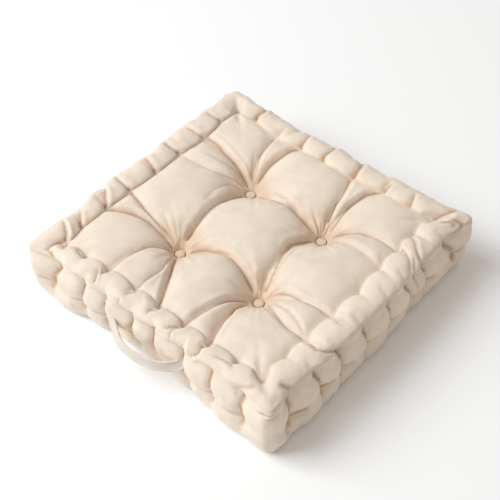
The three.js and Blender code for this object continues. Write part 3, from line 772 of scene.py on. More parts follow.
# Creases of the stitched edge. Their ways are counted in stitches round the cushion and in rows of
# sections down it, and their widths and depths are in millimetres.
EDGE_CREASES = tuple(Crease(*row) for row in (
    (((1.02, 0.2), (0.9, 1.4), (0.5, 1.2)), 2.3, 2.7, 0.8, -1, 7, 4, 10),
    (((31.96, 0.6), (32.2, 1.6), (32.42, 2.9)), 3.0, 2.2, 1.0, -1, 5, 3, 5),
    (((31.9, 0.5), (31.98, 1.9), (32.14, 3.2), (32.22, 4.4)), 4.6, 2.6, 1.6, -1, 6, 3, 4),
    (((0.24, 3.8), (0.34, 4.55), (0.42, 5.3)), 4.6, 2.2, 1.2, -1, 5, 3, 4),
    (((1.2, 5.5), (1.3, 5.35), (1.4, 5.2)), 2.6, 2.0, 0.8, 1, 4, 4, 4),
    (((1.76, 2.2), (1.84, 2.8), (1.92, 3.65), (1.97, 4.8)), 4.6, 2.4, 1.6, -1, 5, 5, 6),
    (((2.0, 0.1), (2.06, 1.6), (1.98, 2.4), (2.02, 3.3)), 2.8, 2.2, 0.9, -1, 6, 3, 10),
    (((3.05, 0.1), (3.14, 1.8), (3.06, 2.5), (3.04, 3.6)), 3.0, 2.2, 0.9, -1, 6, 3, 10),
    (((2.94, 4.0), (3.0, 4.8), (3.04, 5.4)), 2.2, 2.2, 0.8, -1, 5, 4, 5),
    (((4.42, 4.2), (4.38, 5.0), (4.3, 6.2)), 3.0, 2.4, 1.2, -1, 5, 5, 6),
    (((4.03, 0.1), (4.12, 1.9), (3.97, 2.8), (4.0, 4.0)), 2.7, 2.2, 0.8, -1, 6, 3, 10),
    (((5.0, 0.1), (5.05, 1.8), (4.88, 2.8), (4.62, 4.3)), 4.1, 2.3, 1.4, -1, 7, 3, 12),
    (((4.98, 2.4), (4.93, 3.6), (4.96, 4.6), (5.06, 5.2)), 2.4, 2.6, 1.0, -1, 5, 5, 8),
    (((6.0, 0.1), (6.06, 1.8), (5.95, 2.7), (5.95, 4.0), (5.86, 5.0), (5.7, 5.6)),
     5.1, 2.0, 1.5, -1, 6, 3, 8),
    (((5.44, 3.0), (5.44, 4.4), (5.36, 5.6)), 1.2, 2.0, 0.6, -1, 5, 8, 8),
    (((6.3, 3.2), (6.55, 2.9), (6.82, 2.6), (7.1, 2.4)), 1.9, 2.7, 0.8, 1, 7, 12, 8),
    (((7.0, 0.1), (6.96, 1.6), (6.86, 2.6)), 2.0, 2.3, 0.8, -1, 6, 3, 10),
    (((7.86, 2.2), (7.75, 2.9), (7.67, 3.6), (7.57, 4.4), (7.45, 5.3), (7.3, 6.4)),
     2.0, 2.0, 0.8, -1, 5, 12, 6),
    (((7.43, 6.0), (7.4, 6.5), (7.37, 7.0)), 2.0, 2.0, 0.6, -1, 5, 4, 4),
    (((7.61, 5.8), (7.58, 6.5), (7.57, 7.2)), 2.2, 2.2, 0.8, -1, 5, 3, 4),
    (((8.24, 2.9), (8.31, 3.5), (8.35, 3.95), (8.39, 4.6), (8.45, 5.4)),
     3.6, 1.7, 1.2, 1, 5, 10, 3),
    (((8.3, 5.3), (8.4, 5.25), (8.52, 5.2), (8.68, 5.0)), 5.0, 2.4, 1.2, 1, 5, 3, 8),
    (((8.36, 9.8), (8.3, 10.9), (8.26, 11.85), (8.28, 12.9), (8.32, 13.6)),
     2.4, 2.2, 0.6, 1, 5, 5, 6),
    (((9.95, 0.1), (9.83, 2.1), (9.74, 3.0), (9.82, 4.0), (10.0, 4.8), (10.14, 5.5),
     (10.2, 6.2)),
     5.1, 2.0, 1.7, 1, 6, 3, 4),
    (((10.97, 0.1), (10.86, 2.0), (10.78, 2.8), (10.7, 3.8)), 1.4, 3.4, 0.6, 1, 7, 3, 12),
    (((13.0, 0.1), (13.0, 1.6), (13.06, 2.6)), 1.6, 2.7, 0.6, 1, 7, 3, 10),
    (((13.97, 0.1), (14.06, 1.4), (14.02, 2.2), (13.94, 3.05), (13.82, 3.75), (13.66, 4.4),
     (13.48, 5.1)),
     2.4, 2.8, 0.8, -1, 6, 3, 8),
    (((14.14, 2.8), (14.04, 3.6), (13.9, 4.4), (13.84, 5.2)), 2.6, 2.8, 0.6, 1, 6, 8, 8),
    (((14.87, 0.1), (14.64, 2.1), (14.42, 2.9), (14.32, 3.85), (14.25, 4.5), (14.26, 5.2),
     (14.34, 6.2)),
     2.8, 2.8, 1.0, -1, 6, 3, 6),
    (((15.78, 2.2), (15.81, 3.2), (15.78, 3.9), (15.7, 4.6)), 3.2, 2.2, 1.8, -1, 4, 5, 5),
    (((15.88, 3.0), (15.87, 4.0), (15.84, 4.8), (15.76, 5.5), (15.6, 5.9)),
     6.0, 2.8, 1.6, 1, 5, 5, 5),
    (((16.05, 0.3), (16.04, 1.1), (16.08, 2.35), (16.16, 3.65), (16.2, 5)),
     5.0, 2.6, 1.6, 1, 6, 3, 8),
    (((17.0, 0.1), (17.0, 2.0), (17.1, 3.6)), 2.8, 2.4, 0.9, 1, 6, 3, 12),
    (((18.0, 0.1), (17.92, 2.4), (17.88, 3.6)), 3.7, 2.3, 1.2, 1, 6, 3, 12),
    (((19.0, 0.1), (19.02, 2.4), (19.12, 4.0), (19.4, 6.5)), 5.0, 2.4, 1.5, 1, 7, 3, 12),
    (((20.0, 0.1), (20.1, 2.2), (20.14, 3.2), (20.3, 5.0)), 3.4, 2.3, 1.0, 1, 6, 3, 12),
    (((21.0, 0.1), (21.06, 2.1), (21.14, 3.2), (21.3, 5.0)), 3.9, 2.3, 1.2, 1, 6, 3, 12),
    (((22.0, 0.1), (22.0, 2.0), (22.05, 3.5)), 1.7, 3.0, 0.6, 1, 7, 3, 12),
    (((23.0, 0.1), (23.06, 2.5), (23.12, 3.8), (23.5, 7.0)), 4.1, 2.3, 1.2, 1, 6, 3, 12),
    (((25.0, 0.1), (25.0, 2.5), (24.9, 4.0)), 1.9, 2.7, 0.8, 1, 6, 3, 12),
    (((26.0, 0.1), (26.0, 2.5), (25.9, 4.5)), 2.2, 2.7, 0.8, 1, 6, 3, 12),
    (((27.0, 0.1), (27.0, 2.9), (26.84, 4.8)), 3.3, 2.3, 1.0, 1, 6, 3, 12),
    (((28.0, 0.1), (27.94, 2.6), (27.76, 4.8)), 4.2, 2.3, 1.4, 1, 7, 3, 12),
    (((29.0, 0.1), (29.05, 2.6), (29.0, 4.9)), 3.3, 2.3, 1.2, 1, 6, 3, 12),
    (((30.0, 0.1), (29.88, 2.2), (29.64, 3.4), (29.5, 6.0)), 4.4, 2.3, 1.4, 1, 7, 3, 12),
    (((31.05, 0.1), (30.92, 2.5), (30.74, 4.0)), 3.1, 2.2, 1.5, 1, 6, 3, 12),
    (((2.2, 12.3), (2.8, 12.4), (3.4, 12.4), (4.0, 12.5), (4.5, 12.9)),
     13.0, 7.0, 0.0, 1, 6, 18, 14),
    (((31.9, 0.2), (31.75, 1.4), (31.62, 2.2), (31.5, 3.0), (31.4, 4.5)),
     5.0, 2.6, 2.0, 1, 6, 4, 12),
    (((7.84, 6.2), (7.9, 5.7), (7.97, 5.35), (8.04, 5.3), (8.1, 5.3)),
     2.4, 1.2, 0.7, -1, 2.6, 4, 5),
    (((7.96, 6.8), (8.02, 6.4), (8.08, 6.05), (8.15, 5.8)), 2.0, 1.1, 0.7, -1, 2.4, 3, 5),
))


@dataclass
class Cover:
    """The cushion's cotton cover as one closed mesh, fine enough for its creases.

    columns and rows set how fine the mesh is: columns for each stitch pitch, steps for each
    section of the edge, upper and lower ones, and rows of each panel from a button to its rim.
    creased says whether it has its sharp creases or only its broad form. row_growth brings rows
    closer together at the buttons, and the closeness and reach fields say how much closer the
    columns are at stitches and corners, and how far from them, in stitches.
    """

    form: CushionForm = field(default_factory=CushionForm)
    columns: int = 20
    upper_steps: int = 5
    lower_steps: int = 3
    upper_sections: int = 8
    top_rows: int = 44
    bottom_rows: int = 5
    midline_steps: int = 45
    row_growth: float = 1.5
    closeness: float = 1.4
    close_reach: float = 0.12
    corner_closeness: float = 1.7
    corner_reach: float = 0.36
    creased: bool = True
    samples: int = 2001

    def places(self) -> Array:
        """Gives the places of the mesh columns, closer together at stitches and corners.

        Returns:
            (n,) places, counted in stitches.
        """
        form = self.form
        half = form.intervals // 2
        stitches = [*range(form.ring + 1), *(stitch.upper for stitch in form.side_stitches)]
        places = []
        for start in range(0, form.ring, half):
            fine = np.linspace(start, start + half, self.samples)
            gap = np.abs(fine[:, None] - np.array(stitches)[None]).min(axis=1)
            density = 1 + self.closeness * np.exp(-((gap / self.close_reach) ** 2))
            to_corner = np.abs((fine + half) % form.intervals - half)
            density += self.corner_closeness * np.exp(-((to_corner / self.corner_reach) ** 2))
            total = np.cumsum(density)
            total = (total - total[0]) / (total[-1] - total[0])
            shares = np.arange(half * self.columns) / (half * self.columns)
            places.append(np.interp(shares, total, fine))
        return np.concatenate(places)

    def build(self) -> bpy.types.Object:
        """Builds the cover's mesh object.

        Returns:
            The cover, with the painted shade of its creases stored on its points.
        """
        form, place = self.form, self.places()
        last = len(form.sections) - 1
        upper = np.linspace(0, self.upper_sections, self.upper_sections * self.upper_steps + 1)
        lower_count = (last - self.upper_sections) * self.lower_steps + 1
        lower = np.linspace(self.upper_sections, last, lower_count)
        rows = np.concatenate([upper, lower[1:]])
        edge, lines = EdgeSurface(form, rows, place, self.creased).points()
        log.info("edge of %d by %d points", *edge.shape[:2])
        parts = [Part(edge.reshape(-1, 3), ring_quads(*edge.shape[:2]), lines.ravel())]
        parts += [self._panel_part(edge[0], place, True), self._panel_part(edge[-1], place, False)]
        return merged_object("cushion_cover", parts)

    def _panel_part(self, line: Array, place: Array, is_top: bool) -> "Part":
        """Makes the faces of the top panel or the bottom panel.

        Args:
            line: (n, 3) the panel's seam line.
            place: (n,) the places of its points.
            is_top: whether it is the top panel.

        Returns:
            The panel's points and faces.
        """
        points, quads = [], []
        for index in range(len(TUFTS)):
            rim, bow = self._quarter_rim(index, line, place)
            plan = self._quarter_plan(index, rim, bow, is_top)
            count, rows = plan.shape[:2]
            grid = np.arange(count * rows).reshape(count, rows) + sum(len(p) for p in points)
            following = np.roll(grid, -1, axis=0)
            cells = [grid[:, :-1], grid[:, 1:], following[:, 1:], following[:, :-1]]
            quads.append(np.stack(cells if is_top else cells[::-1], axis=2).reshape(-1, 4))
            points.append(plan.reshape(-1, 2))
        xy = np.concatenate(points)
        surface = PanelSurface(self.form, line, is_top, self.creased)
        if not is_top or not self.creased:
            return Part(surface.lift(xy), np.concatenate(quads))
        xy = surface.gather(xy)
        return Part(surface.lift(xy), np.concatenate(quads), surface.creases(xy)[1])

    def _quarter_rim(self, index: int, line: Array, place: Array) -> tuple[Array, Array]:
        """Gives the rim of one button's quarter of a panel, counterclockwise from the middle.

        Args:
            index: the button's row.
            line: (n, 3) the panel's seam line.
            place: (n,) the places of its points.

        Returns:
            The rim's plan points, and how far the mesh columns to them bow to their left.
        """
        half = len(line) // (2 * len(SIDES))
        around = (index * 2 * half + np.arange(-half, half + 1)) % len(line)
        before, bow_before = self._midline((index - 1) % len(SIDES), line, half)
        after, bow_after = self._midline(index, line, half)
        rim = np.concatenate([before, line[around, :2], after[:0:-1]])
        offset = self.form.around(place[around] - index * self.form.intervals)
        known = [(-self.form.intervals / 2, 0.0), (self.form.intervals / 2, 0.0)]
        for fold in self.form.stitch_folds:
            gap = self.form.around(self.form.stitch_place(fold) - index * self.form.intervals)
            if fold.tuft is TUFTS[index] and abs(gap) < self.form.intervals / 2:
                known.append((gap, fold.bow))
        known.sort()
        bows = np.interp(offset, *np.array(known).T)
        return rim, np.concatenate([-bow_before, bows, bow_after[:0:-1]])

    def _midline(self, index: int, line: Array, half: int) -> tuple[Array, Array]:
        """Gives the line between two quarters, from the panel's middle to its seam line.

        Args:
            index: the row of the fold that joins the two buttons.
            line: (n, 3) the panel's seam line.
            half: mesh columns in half a side.

        Returns:
            Plan points without the last one, and how far the columns to them bow.
        """
        ends = TUFT_POINTS[index], TUFT_POINTS[(index + 1) % len(TUFTS)]
        bow = self.form.tuft_folds[index].bow
        fold = bow_points(ends[0][None], ends[1][None], np.array([bow]), np.array([0.5]))[0, 0]
        rim = line[(index * 2 + 1) * half % len(line), :2]
        lengths = np.hypot(*fold), np.hypot(*(rim - fold))
        inner = max(4, round(self.midline_steps * lengths[0] / sum(lengths)))
        outer = self.midline_steps - inner
        to_fold = np.arange(inner)[:, None] / inner
        to_rim = np.arange(outer)[:, None] / outer
        points = np.concatenate([fold * to_fold, lerp(fold, rim, to_rim)])
        bows = np.concatenate([to_fold, 1 - to_rim])[:, 0] * bow / 4
        return points, bows

    def _quarter_plan(self, index: int, rim: Array, bow: Array, is_top: bool) -> Array:
        """Gives the plan points of one quarter's mesh, column by column from the button out.

        Args:
            index: the button's row.
            rim: (n, 2) the quarter's rim.
            bow: (n,) how far the mesh columns bow to their left.
            is_top: whether it belongs to the top panel.

        Returns:
            (n, m, 2) plan points.
        """
        rows = self.top_rows if is_top else self.bottom_rows
        tuft = TUFT_POINTS[index]
        way = rim - tuft
        seat = tuft + way / np.hypot(*way.T)[:, None] * self.form.cup_radius
        share = np.linspace(0, 1, rows + 1) ** self.row_growth
        columns = bow_points(seat, rim, bow, share)
        middle = np.broadcast_to(tuft, (len(rim), 1, 2))
        return np.concatenate([middle, columns], axis=1)


@dataclass
class Part:
    """Points and four-sided faces of part of a mesh, and the painted crease shade at each point."""

    points: Array
    quads: Array
    lines: Array | None = None


def ring_quads(rings: int, around: int, reverse: bool = False) -> Array:
    """Gives the faces between rings of points.

    Args:
        rings: how many rings there are.
        around: how many points a ring has.
        reverse: whether the faces are turned over.

    Returns:
        (n, 4) faces.
    """
    index = np.arange(rings * around).reshape(rings, around)
    following = np.roll(index, -1, axis=1)
    corners = [index[:-1], index[1:], following[1:], following[:-1]]
    if reverse:
        corners[1:] = corners[:0:-1]
    return np.stack(corners, axis=2).reshape(-1, 4)


def linked(name: str, data: bpy.types.ID) -> bpy.types.Object:
    """Makes an object from its data and links it to the scene.

    Args:
        name: the object's name.
        data: its mesh, light or camera.

    Returns:
        The object.
    """
    made = bpy.data.objects.new(name, data)
    bpy.context.scene.collection.objects.link(made)
    return made


def store(mesh: bpy.types.Mesh, name: str, values: Array) -> None:
    """Stores a number for each point of a mesh under a name."""
    mesh.attributes.new(name, "FLOAT", "POINT").data.foreach_set("value", values)


def merged_object(name: str, parts: list[Part]) -> bpy.types.Object:
    """Joins parts into one mesh object and merges the points that they share.

    Args:
        name: the object's name.
        parts: the parts, in millimetres.

    Returns:
        The object, smooth-shaded and linked to the scene.
    """
    starts = np.cumsum([0] + [len(part.points) for part in parts])
    points = np.concatenate([part.points for part in parts])
    lines = [np.zeros(len(part.points)) if part.lines is None else part.lines for part in parts]
    quads = np.concatenate([part.quads + start for part, start in zip(parts, starts)])
    rounded = np.round(points, 3)
    _, first, inverse = np.unique(rounded, axis=0, return_index=True, return_inverse=True)
    faces = []
    for face in split_along_valleys(points[first], inverse.reshape(-1)[quads]).tolist():
        if len(set(face)) == 3:
            faces.append(face)
    mesh = bpy.data.meshes.new(name)
    mesh.from_pydata((points[first] * MM).tolist(), [], faces)
    mesh.validate()
    mesh.shade_smooth()
    # Painted shade: how dark each point's crease bottom is painted.
    store(mesh, "crease", np.concatenate(lines)[first])
    return linked(name, mesh)


def split_along_valleys(points: Array, quads: Array) -> Array:
    """Splits four-sided faces into triangles along the diagonal that lies deeper.

    Args:
        points: (n, 3) points.
        quads: (m, 4) faces, counterclockwise from outside.

    Returns:
        (2m, 3) faces.
    """
    a, b, c, d = (points[quads[:, corner]] for corner in range(4))
    normal = np.cross(c - a, d - b)
    first_is_deeper = (((a + c) - (b + d)) * normal).sum(axis=1) < 0
    first = np.stack([quads[:, [0, 1, 2]], quads[:, [0, 2, 3]]], axis=1)
    second = np.stack([quads[:, [1, 2, 3]], quads[:, [1, 3, 0]]], axis=1)
    return np.where(first_is_deeper[:, None, None], first, second).reshape(-1, 3)


def mesh_points(mesh: bpy.types.Mesh) -> Array:
    """Reads the points of a mesh.

    Args:
        mesh: the mesh.

    Returns:
        (n, 3) points in millimetres.
    """
    points = np.empty(len(mesh.vertices) * 3)
    mesh.vertices.foreach_get("co", points)
    return points.reshape(-1, 3) / MM


def place_points(mesh: bpy.types.Mesh, points: Array) -> None:
    """Moves the points of a mesh to (n, 3) places in millimetres."""
    mesh.vertices.foreach_set("co", (points * MM).ravel())
    mesh.update()


def smoothed(mesh: bpy.types.Mesh, values: Array, rounds: int) -> Array:
    """Evens out values over a mesh.

    Args:
        mesh: the mesh.
        values: (n, 3) values at its points.
        rounds: how often each value moves half of the way to its neighbours' middle.

    Returns:
        (n, 3) values.
    """
    ends = np.empty(len(mesh.edges) * 2, int)
    mesh.edges.foreach_get("vertices", ends)
    ends = ends.reshape(-1, 2)
    degree = np.bincount(ends.ravel(), minlength=len(values))[:, None]
    for _ in range(rounds):
        total = np.stack(
            [
                np.bincount(ends[:, 0], values[ends[:, 1], axis], len(values))
                + np.bincount(ends[:, 1], values[ends[:, 0], axis], len(values))
                for axis in range(3)
            ],
            axis=1,
        )
        values = 0.5 * values + 0.5 * total / degree
    return values


def relax_creases(mesh: bpy.types.Mesh, rounds: int = 2) -> None:
    """Evens out the points close to creases, where a crease runs aslant across the mesh.

    Args:
        mesh: the cover's mesh, with its attribute crease, the painted crease shade.
        rounds: how often each point moves half of the way to its neighbours' middle.
    """
    dark = np.empty(len(mesh.vertices))
    mesh.attributes["crease"].data.foreach_get("value", dark)
    near = smoothed(mesh, np.repeat(dark[:, None], 3, axis=1), rounds)[:, :1]
    points = mesh_points(mesh)
    place_points(mesh, lerp(points, smoothed(mesh, points, rounds), ease(near, *RELAXED_DARK)))


def mark_painted_sunk_shade(mesh: bpy.types.Mesh, form: CushionForm) -> None:
    """Stores how far the buttons and the broad folds draw each point in, for painted shade.

    Args:
        mesh: the cover's mesh, whose points get the painted shade attribute sunk, from 0 to 1.
        form: the cushion's form.
    """
    points = mesh_points(mesh)
    inside = 1 - ease(np.abs(points[:, :2]).max(axis=1), *PAINTED_SUNK_SHADE_RIM)
    store(mesh, "sunk", ease(form.sink(points[:, :2]), *PAINTED_SUNK_SHADE_DEPTH) * inside)


def mark_painted_shade_hollows(mesh: bpy.types.Mesh) -> None:
    """Stores how deep each point lies in a narrow fold or a hollow, for painted shade there.

    Args:
        mesh: the mesh, whose points get the attributes fold and hollow, from 0 to 1.
    """
    points = mesh_points(mesh)
    normals = np.empty(len(points) * 3)
    mesh.vertices.foreach_get("normal", normals)
    normals = normals.reshape(-1, 3)
    smooth = points
    for name, rounds, full in PAINTED_SHADE_HOLLOWS:
        smooth = smoothed(mesh, smooth, rounds)
        depth = ((smooth - points) * normals).sum(axis=1)
        store(mesh, name, ease(depth, PAINTED_SHADE_START * full, full))


def crease_relief(
    count: int, cuts: list[tuple[Crease, Way, Array, Array]]
) -> tuple[Array, Array]:
    """Joins what creases do to the points near them.

    Args:
        count: how many points there are.
        cuts: each crease, its way, which points are near it and where those lie.

    Returns:
        (n,) heights, below 0 in a crease, and (n,) painted crease shade darknesses from 0 to 1.
    """
    valley, ridge, dark = np.zeros((3, count))
    for crease, way, inside, near in cuts:
        measured = way.measure(near)
        cut, rise = crease.cut(*measured)
        valley[inside] = np.maximum(valley[inside], cut)
        ridge[inside] = np.maximum(ridge[inside], rise)
        dark[inside] = np.maximum(dark[inside], crease.line(*measured))
    return ridge - valley, dark


@dataclass
class EdgeSurface:
    """The surface of the stitched edge, with its channels, its creases and its unevenness.

    rows and place are the mesh rows and columns, and creased says whether it has its creases. A
    channel runs from an upper to a lower side stitch: channel_start, channel_bow and channel_end
    are how far it leads, bows and runs on towards its lean, in stitches. undercut_way gives the
    points of the creases that run on along a side row: how far along, in stitches, and how far
    down, in rows and in shares of undercut_rise. undercut_ends are their ridge's distance and
    the lengths over which they start and end. seam_cut and tip_cut are the sizes of the fine
    seam's creases and of those at its corners, and seam_waver how far and how fast it wavers.
    """

    form: CushionForm
    rows: Array
    place: Array
    creased: bool = True
    channel_depth: float = 4.4
    channel_width: float = 2.4
    channel_lip: float = 1.3
    channel_reach: float = 5.0
    undercut_depth: float = 5.5
    undercut_share: Numbers = (0.4, 1.0, 0.7, 0.6)
    seam_row: float = 4.75
    seam_waver: Span = (0.1, 2.1)
    unevenness: float = 1.1
    ripple_size: float = 34.0
    ripple_fade: float = 12.0
    rim_guard: float = 3.0
    channel_start: float = 0.02
    channel_bow: float = 0.05
    channel_end: float = 0.04
    channel_fades: Span = (8.0, 12.0)
    undercut_width: float = 2.6
    undercut_lip: float = 1.4
    undercut_rise: Span = (0.7, 0.2)
    undercut_ends: Triple = (4, 2, 20)
    undercut_way: tuple[Triple, ...] = (
        (-0.03, 0.1, 0.0), (0.12, 0.0, 0.5), (0.36, 0.0, 1.0), (0.68, 0.0, 1.05),
    )
    seam_cut: Numbers = (0.8, 1.3, 0.9, -1, 2.2, 1, 1)
    tip_cut: Numbers = (0, 1.0, 2.2, 1, 0.9, 1, 6)
    tip_places: Numbers = (0.0, 0.1, 0.2, 0.3)
    tip_rows: Numbers = (4.5, 4.45, 4.55, 4.75)

    def points(self) -> tuple[Array, Array]:
        """Gives the edge's points with its creases.

        Returns:
            (m, n, 3) points and how dark the painted crease shade is at each of them.
        """
        v = self._down()
        turn = self.form.ring * self.form.pitch
        uv = np.stack(np.meshgrid(self.place * self.form.pitch, v), axis=2).reshape(-1, 2)
        creases = []
        sewn = (*EDGE_CREASES, *self._channels(), *self._undercuts(), *self._seams())
        for crease in sewn if self.creased else ():
            way = np.array(crease.way, float)
            down = np.interp(way[:, 1], self.rows, v)
            way = np.stack([way[:, 0] * self.form.pitch, down], axis=1)
            creases.append((crease, Way.through(tuple(map(tuple, way)))))
        for crease, way in creases:
            inside, near = self._near(uv, way, GATHER_MARGIN, turn)
            moved = crease.gathered(near, way) - near
            down, guard = uv[inside, 1], self.rim_guard
            moved[:, 1] *= ease(down, 0, guard) * ease(v[-1] - down, 0, guard)
            uv[inside] += moved
        cuts = []
        for crease, way in creases:
            margin = EDGE_MARGIN * crease.width + LIP_MARGIN * crease.reach
            cuts.append((crease, way, *self._near(uv, way, margin, turn)))
        height, dark = crease_relief(len(uv), cuts)
        shape = len(v), len(self.place)
        place = (uv[:, 0] / self.form.pitch).reshape(shape)
        down = uv[:, 1].reshape(shape)
        base = self.form.edge(np.interp(down, v, self.rows), place)
        height = height.reshape(shape)
        uneven = self.unevenness * ripple(base, self.ripple_size)
        height += uneven * ease(down, 0, self.ripple_fade) * ease(v[-1] - down, 0, self.ripple_fade)
        points = base + self._normals(base) * height[..., None]
        points[..., 2] = np.maximum(points[..., 2], 0)
        return points, dark.reshape(shape)

    def _near(self, uv: Array, way: "Way", margin: float, turn: float) -> tuple[Array, Array]:
        """Finds the points close to a way on the unrolled edge.

        Args:
            uv: (n, 2) points of the unrolled edge.
            way: the way.
            margin: how close they lie.
            turn: the unrolled edge's whole length.

        Returns:
            Which points they are, and the points on the way's own turn.
        """
        middle = way.points[:, 0].mean()
        near = uv.copy()
        near[:, 0] = middle + (near[:, 0] - middle + turn / 2) % turn - turn / 2
        low, high = way.points.min(0) - margin, way.points.max(0) + margin
        inside = ((near > low) & (near < high)).all(axis=1)
        return inside, near[inside]

    def _down(self) -> Array:
        """Gives how far down the edge each row lies, measured along its section.

        Returns:
            (m,) distances from the top seam line.
        """
        table = np.array([[section.out, section.up] for section in self.form.sections])
        way = smooth_between(table, self.rows)
        return np.concatenate([[0.0], np.cumsum(np.hypot(*np.diff(way, axis=0).T))])

    def _normals(self, points: Array) -> Array:
        """Gives the edge's outward normals.

        Args:
            points: (m, n, 3) points of the edge.

        Returns:
            (m, n, 3) unit vectors.
        """
        along = np.roll(points, -1, axis=1) - np.roll(points, 1, axis=1)
        down = np.gradient(points, axis=0)
        normals = np.cross(down, along)
        return normals / np.linalg.norm(normals, axis=2)[..., None]

    def _channels(self) -> list[Crease]:
        """Gives the creases that run down from each stitch of the upper side row.

        Returns:
            One crease for each stitch.
        """
        creases = []
        top, low = self.form.upper_row, self.form.lower_row
        for stitch in self.form.side_stitches:
            middle = (stitch.upper + stitch.lower) / 2 + self.channel_bow * stitch.lean
            way = (
                (stitch.upper - self.channel_start * stitch.lean, top - 1),
                (stitch.upper, top),
                (middle, (top + low) / 2),
                (stitch.lower, low),
                (stitch.lower + self.channel_end * stitch.lean, low + 2),
            )
            strength = (stitch.pull + stitch.low_pull) / 2
            sizes = self.channel_depth * strength, self.channel_width, self.channel_lip * strength
            beside = stitch.lean, self.channel_reach
            creases.append(Crease(way, *sizes, *beside, *self.channel_fades))
        return creases

    def _undercuts(self) -> list[Crease]:
        """Gives the creases that run on along both side rows from each of their stitches.

        Returns:
            Two creases for each stitch, one in each row.
        """
        creases = []
        form = self.form
        for stitch in form.side_stitches:
            for place, row, rise, pull in (
                (stitch.upper, form.upper_row, self.undercut_rise[0], stitch.pull),
                (stitch.lower, form.lower_row, self.undercut_rise[1], stitch.low_pull),
            ):
                share = pull * self.undercut_share[int(place // form.intervals) % len(SIDES)]
                way = tuple(
                    (place + along * stitch.lean, row + down - lift * rise)
                    for along, down, lift in self.undercut_way
                )
                sizes = self.undercut_depth * share, self.undercut_width, self.undercut_lip * share
                creases.append(Crease(way, *sizes, -stitch.lean, *self.undercut_ends))
        return creases

    def _seams(self) -> list[Crease]:
        """Gives the fine seam along the roll's outer edge, cut in four where its ends meet.

        Returns:
            The seam's creases and those of its corners.
        """
        half = self.form.intervals // 2
        seams = []
        for corner in range(len(SIDES)):
            at = corner * self.form.intervals + np.linspace(-half, half, 4 * half + 1)
            rows = self.seam_row + self.seam_waver[0] * np.sin(at * self.seam_waver[1])
            seams.append(Crease(tuple(zip(at, rows)), *self.seam_cut))
            for way in (-1, 1):
                tip = corner * self.form.intervals + np.array(self.tip_places) * way
                seams.append(Crease(tuple(zip(tip, self.tip_rows)), *self.tip_cut))
        return seams


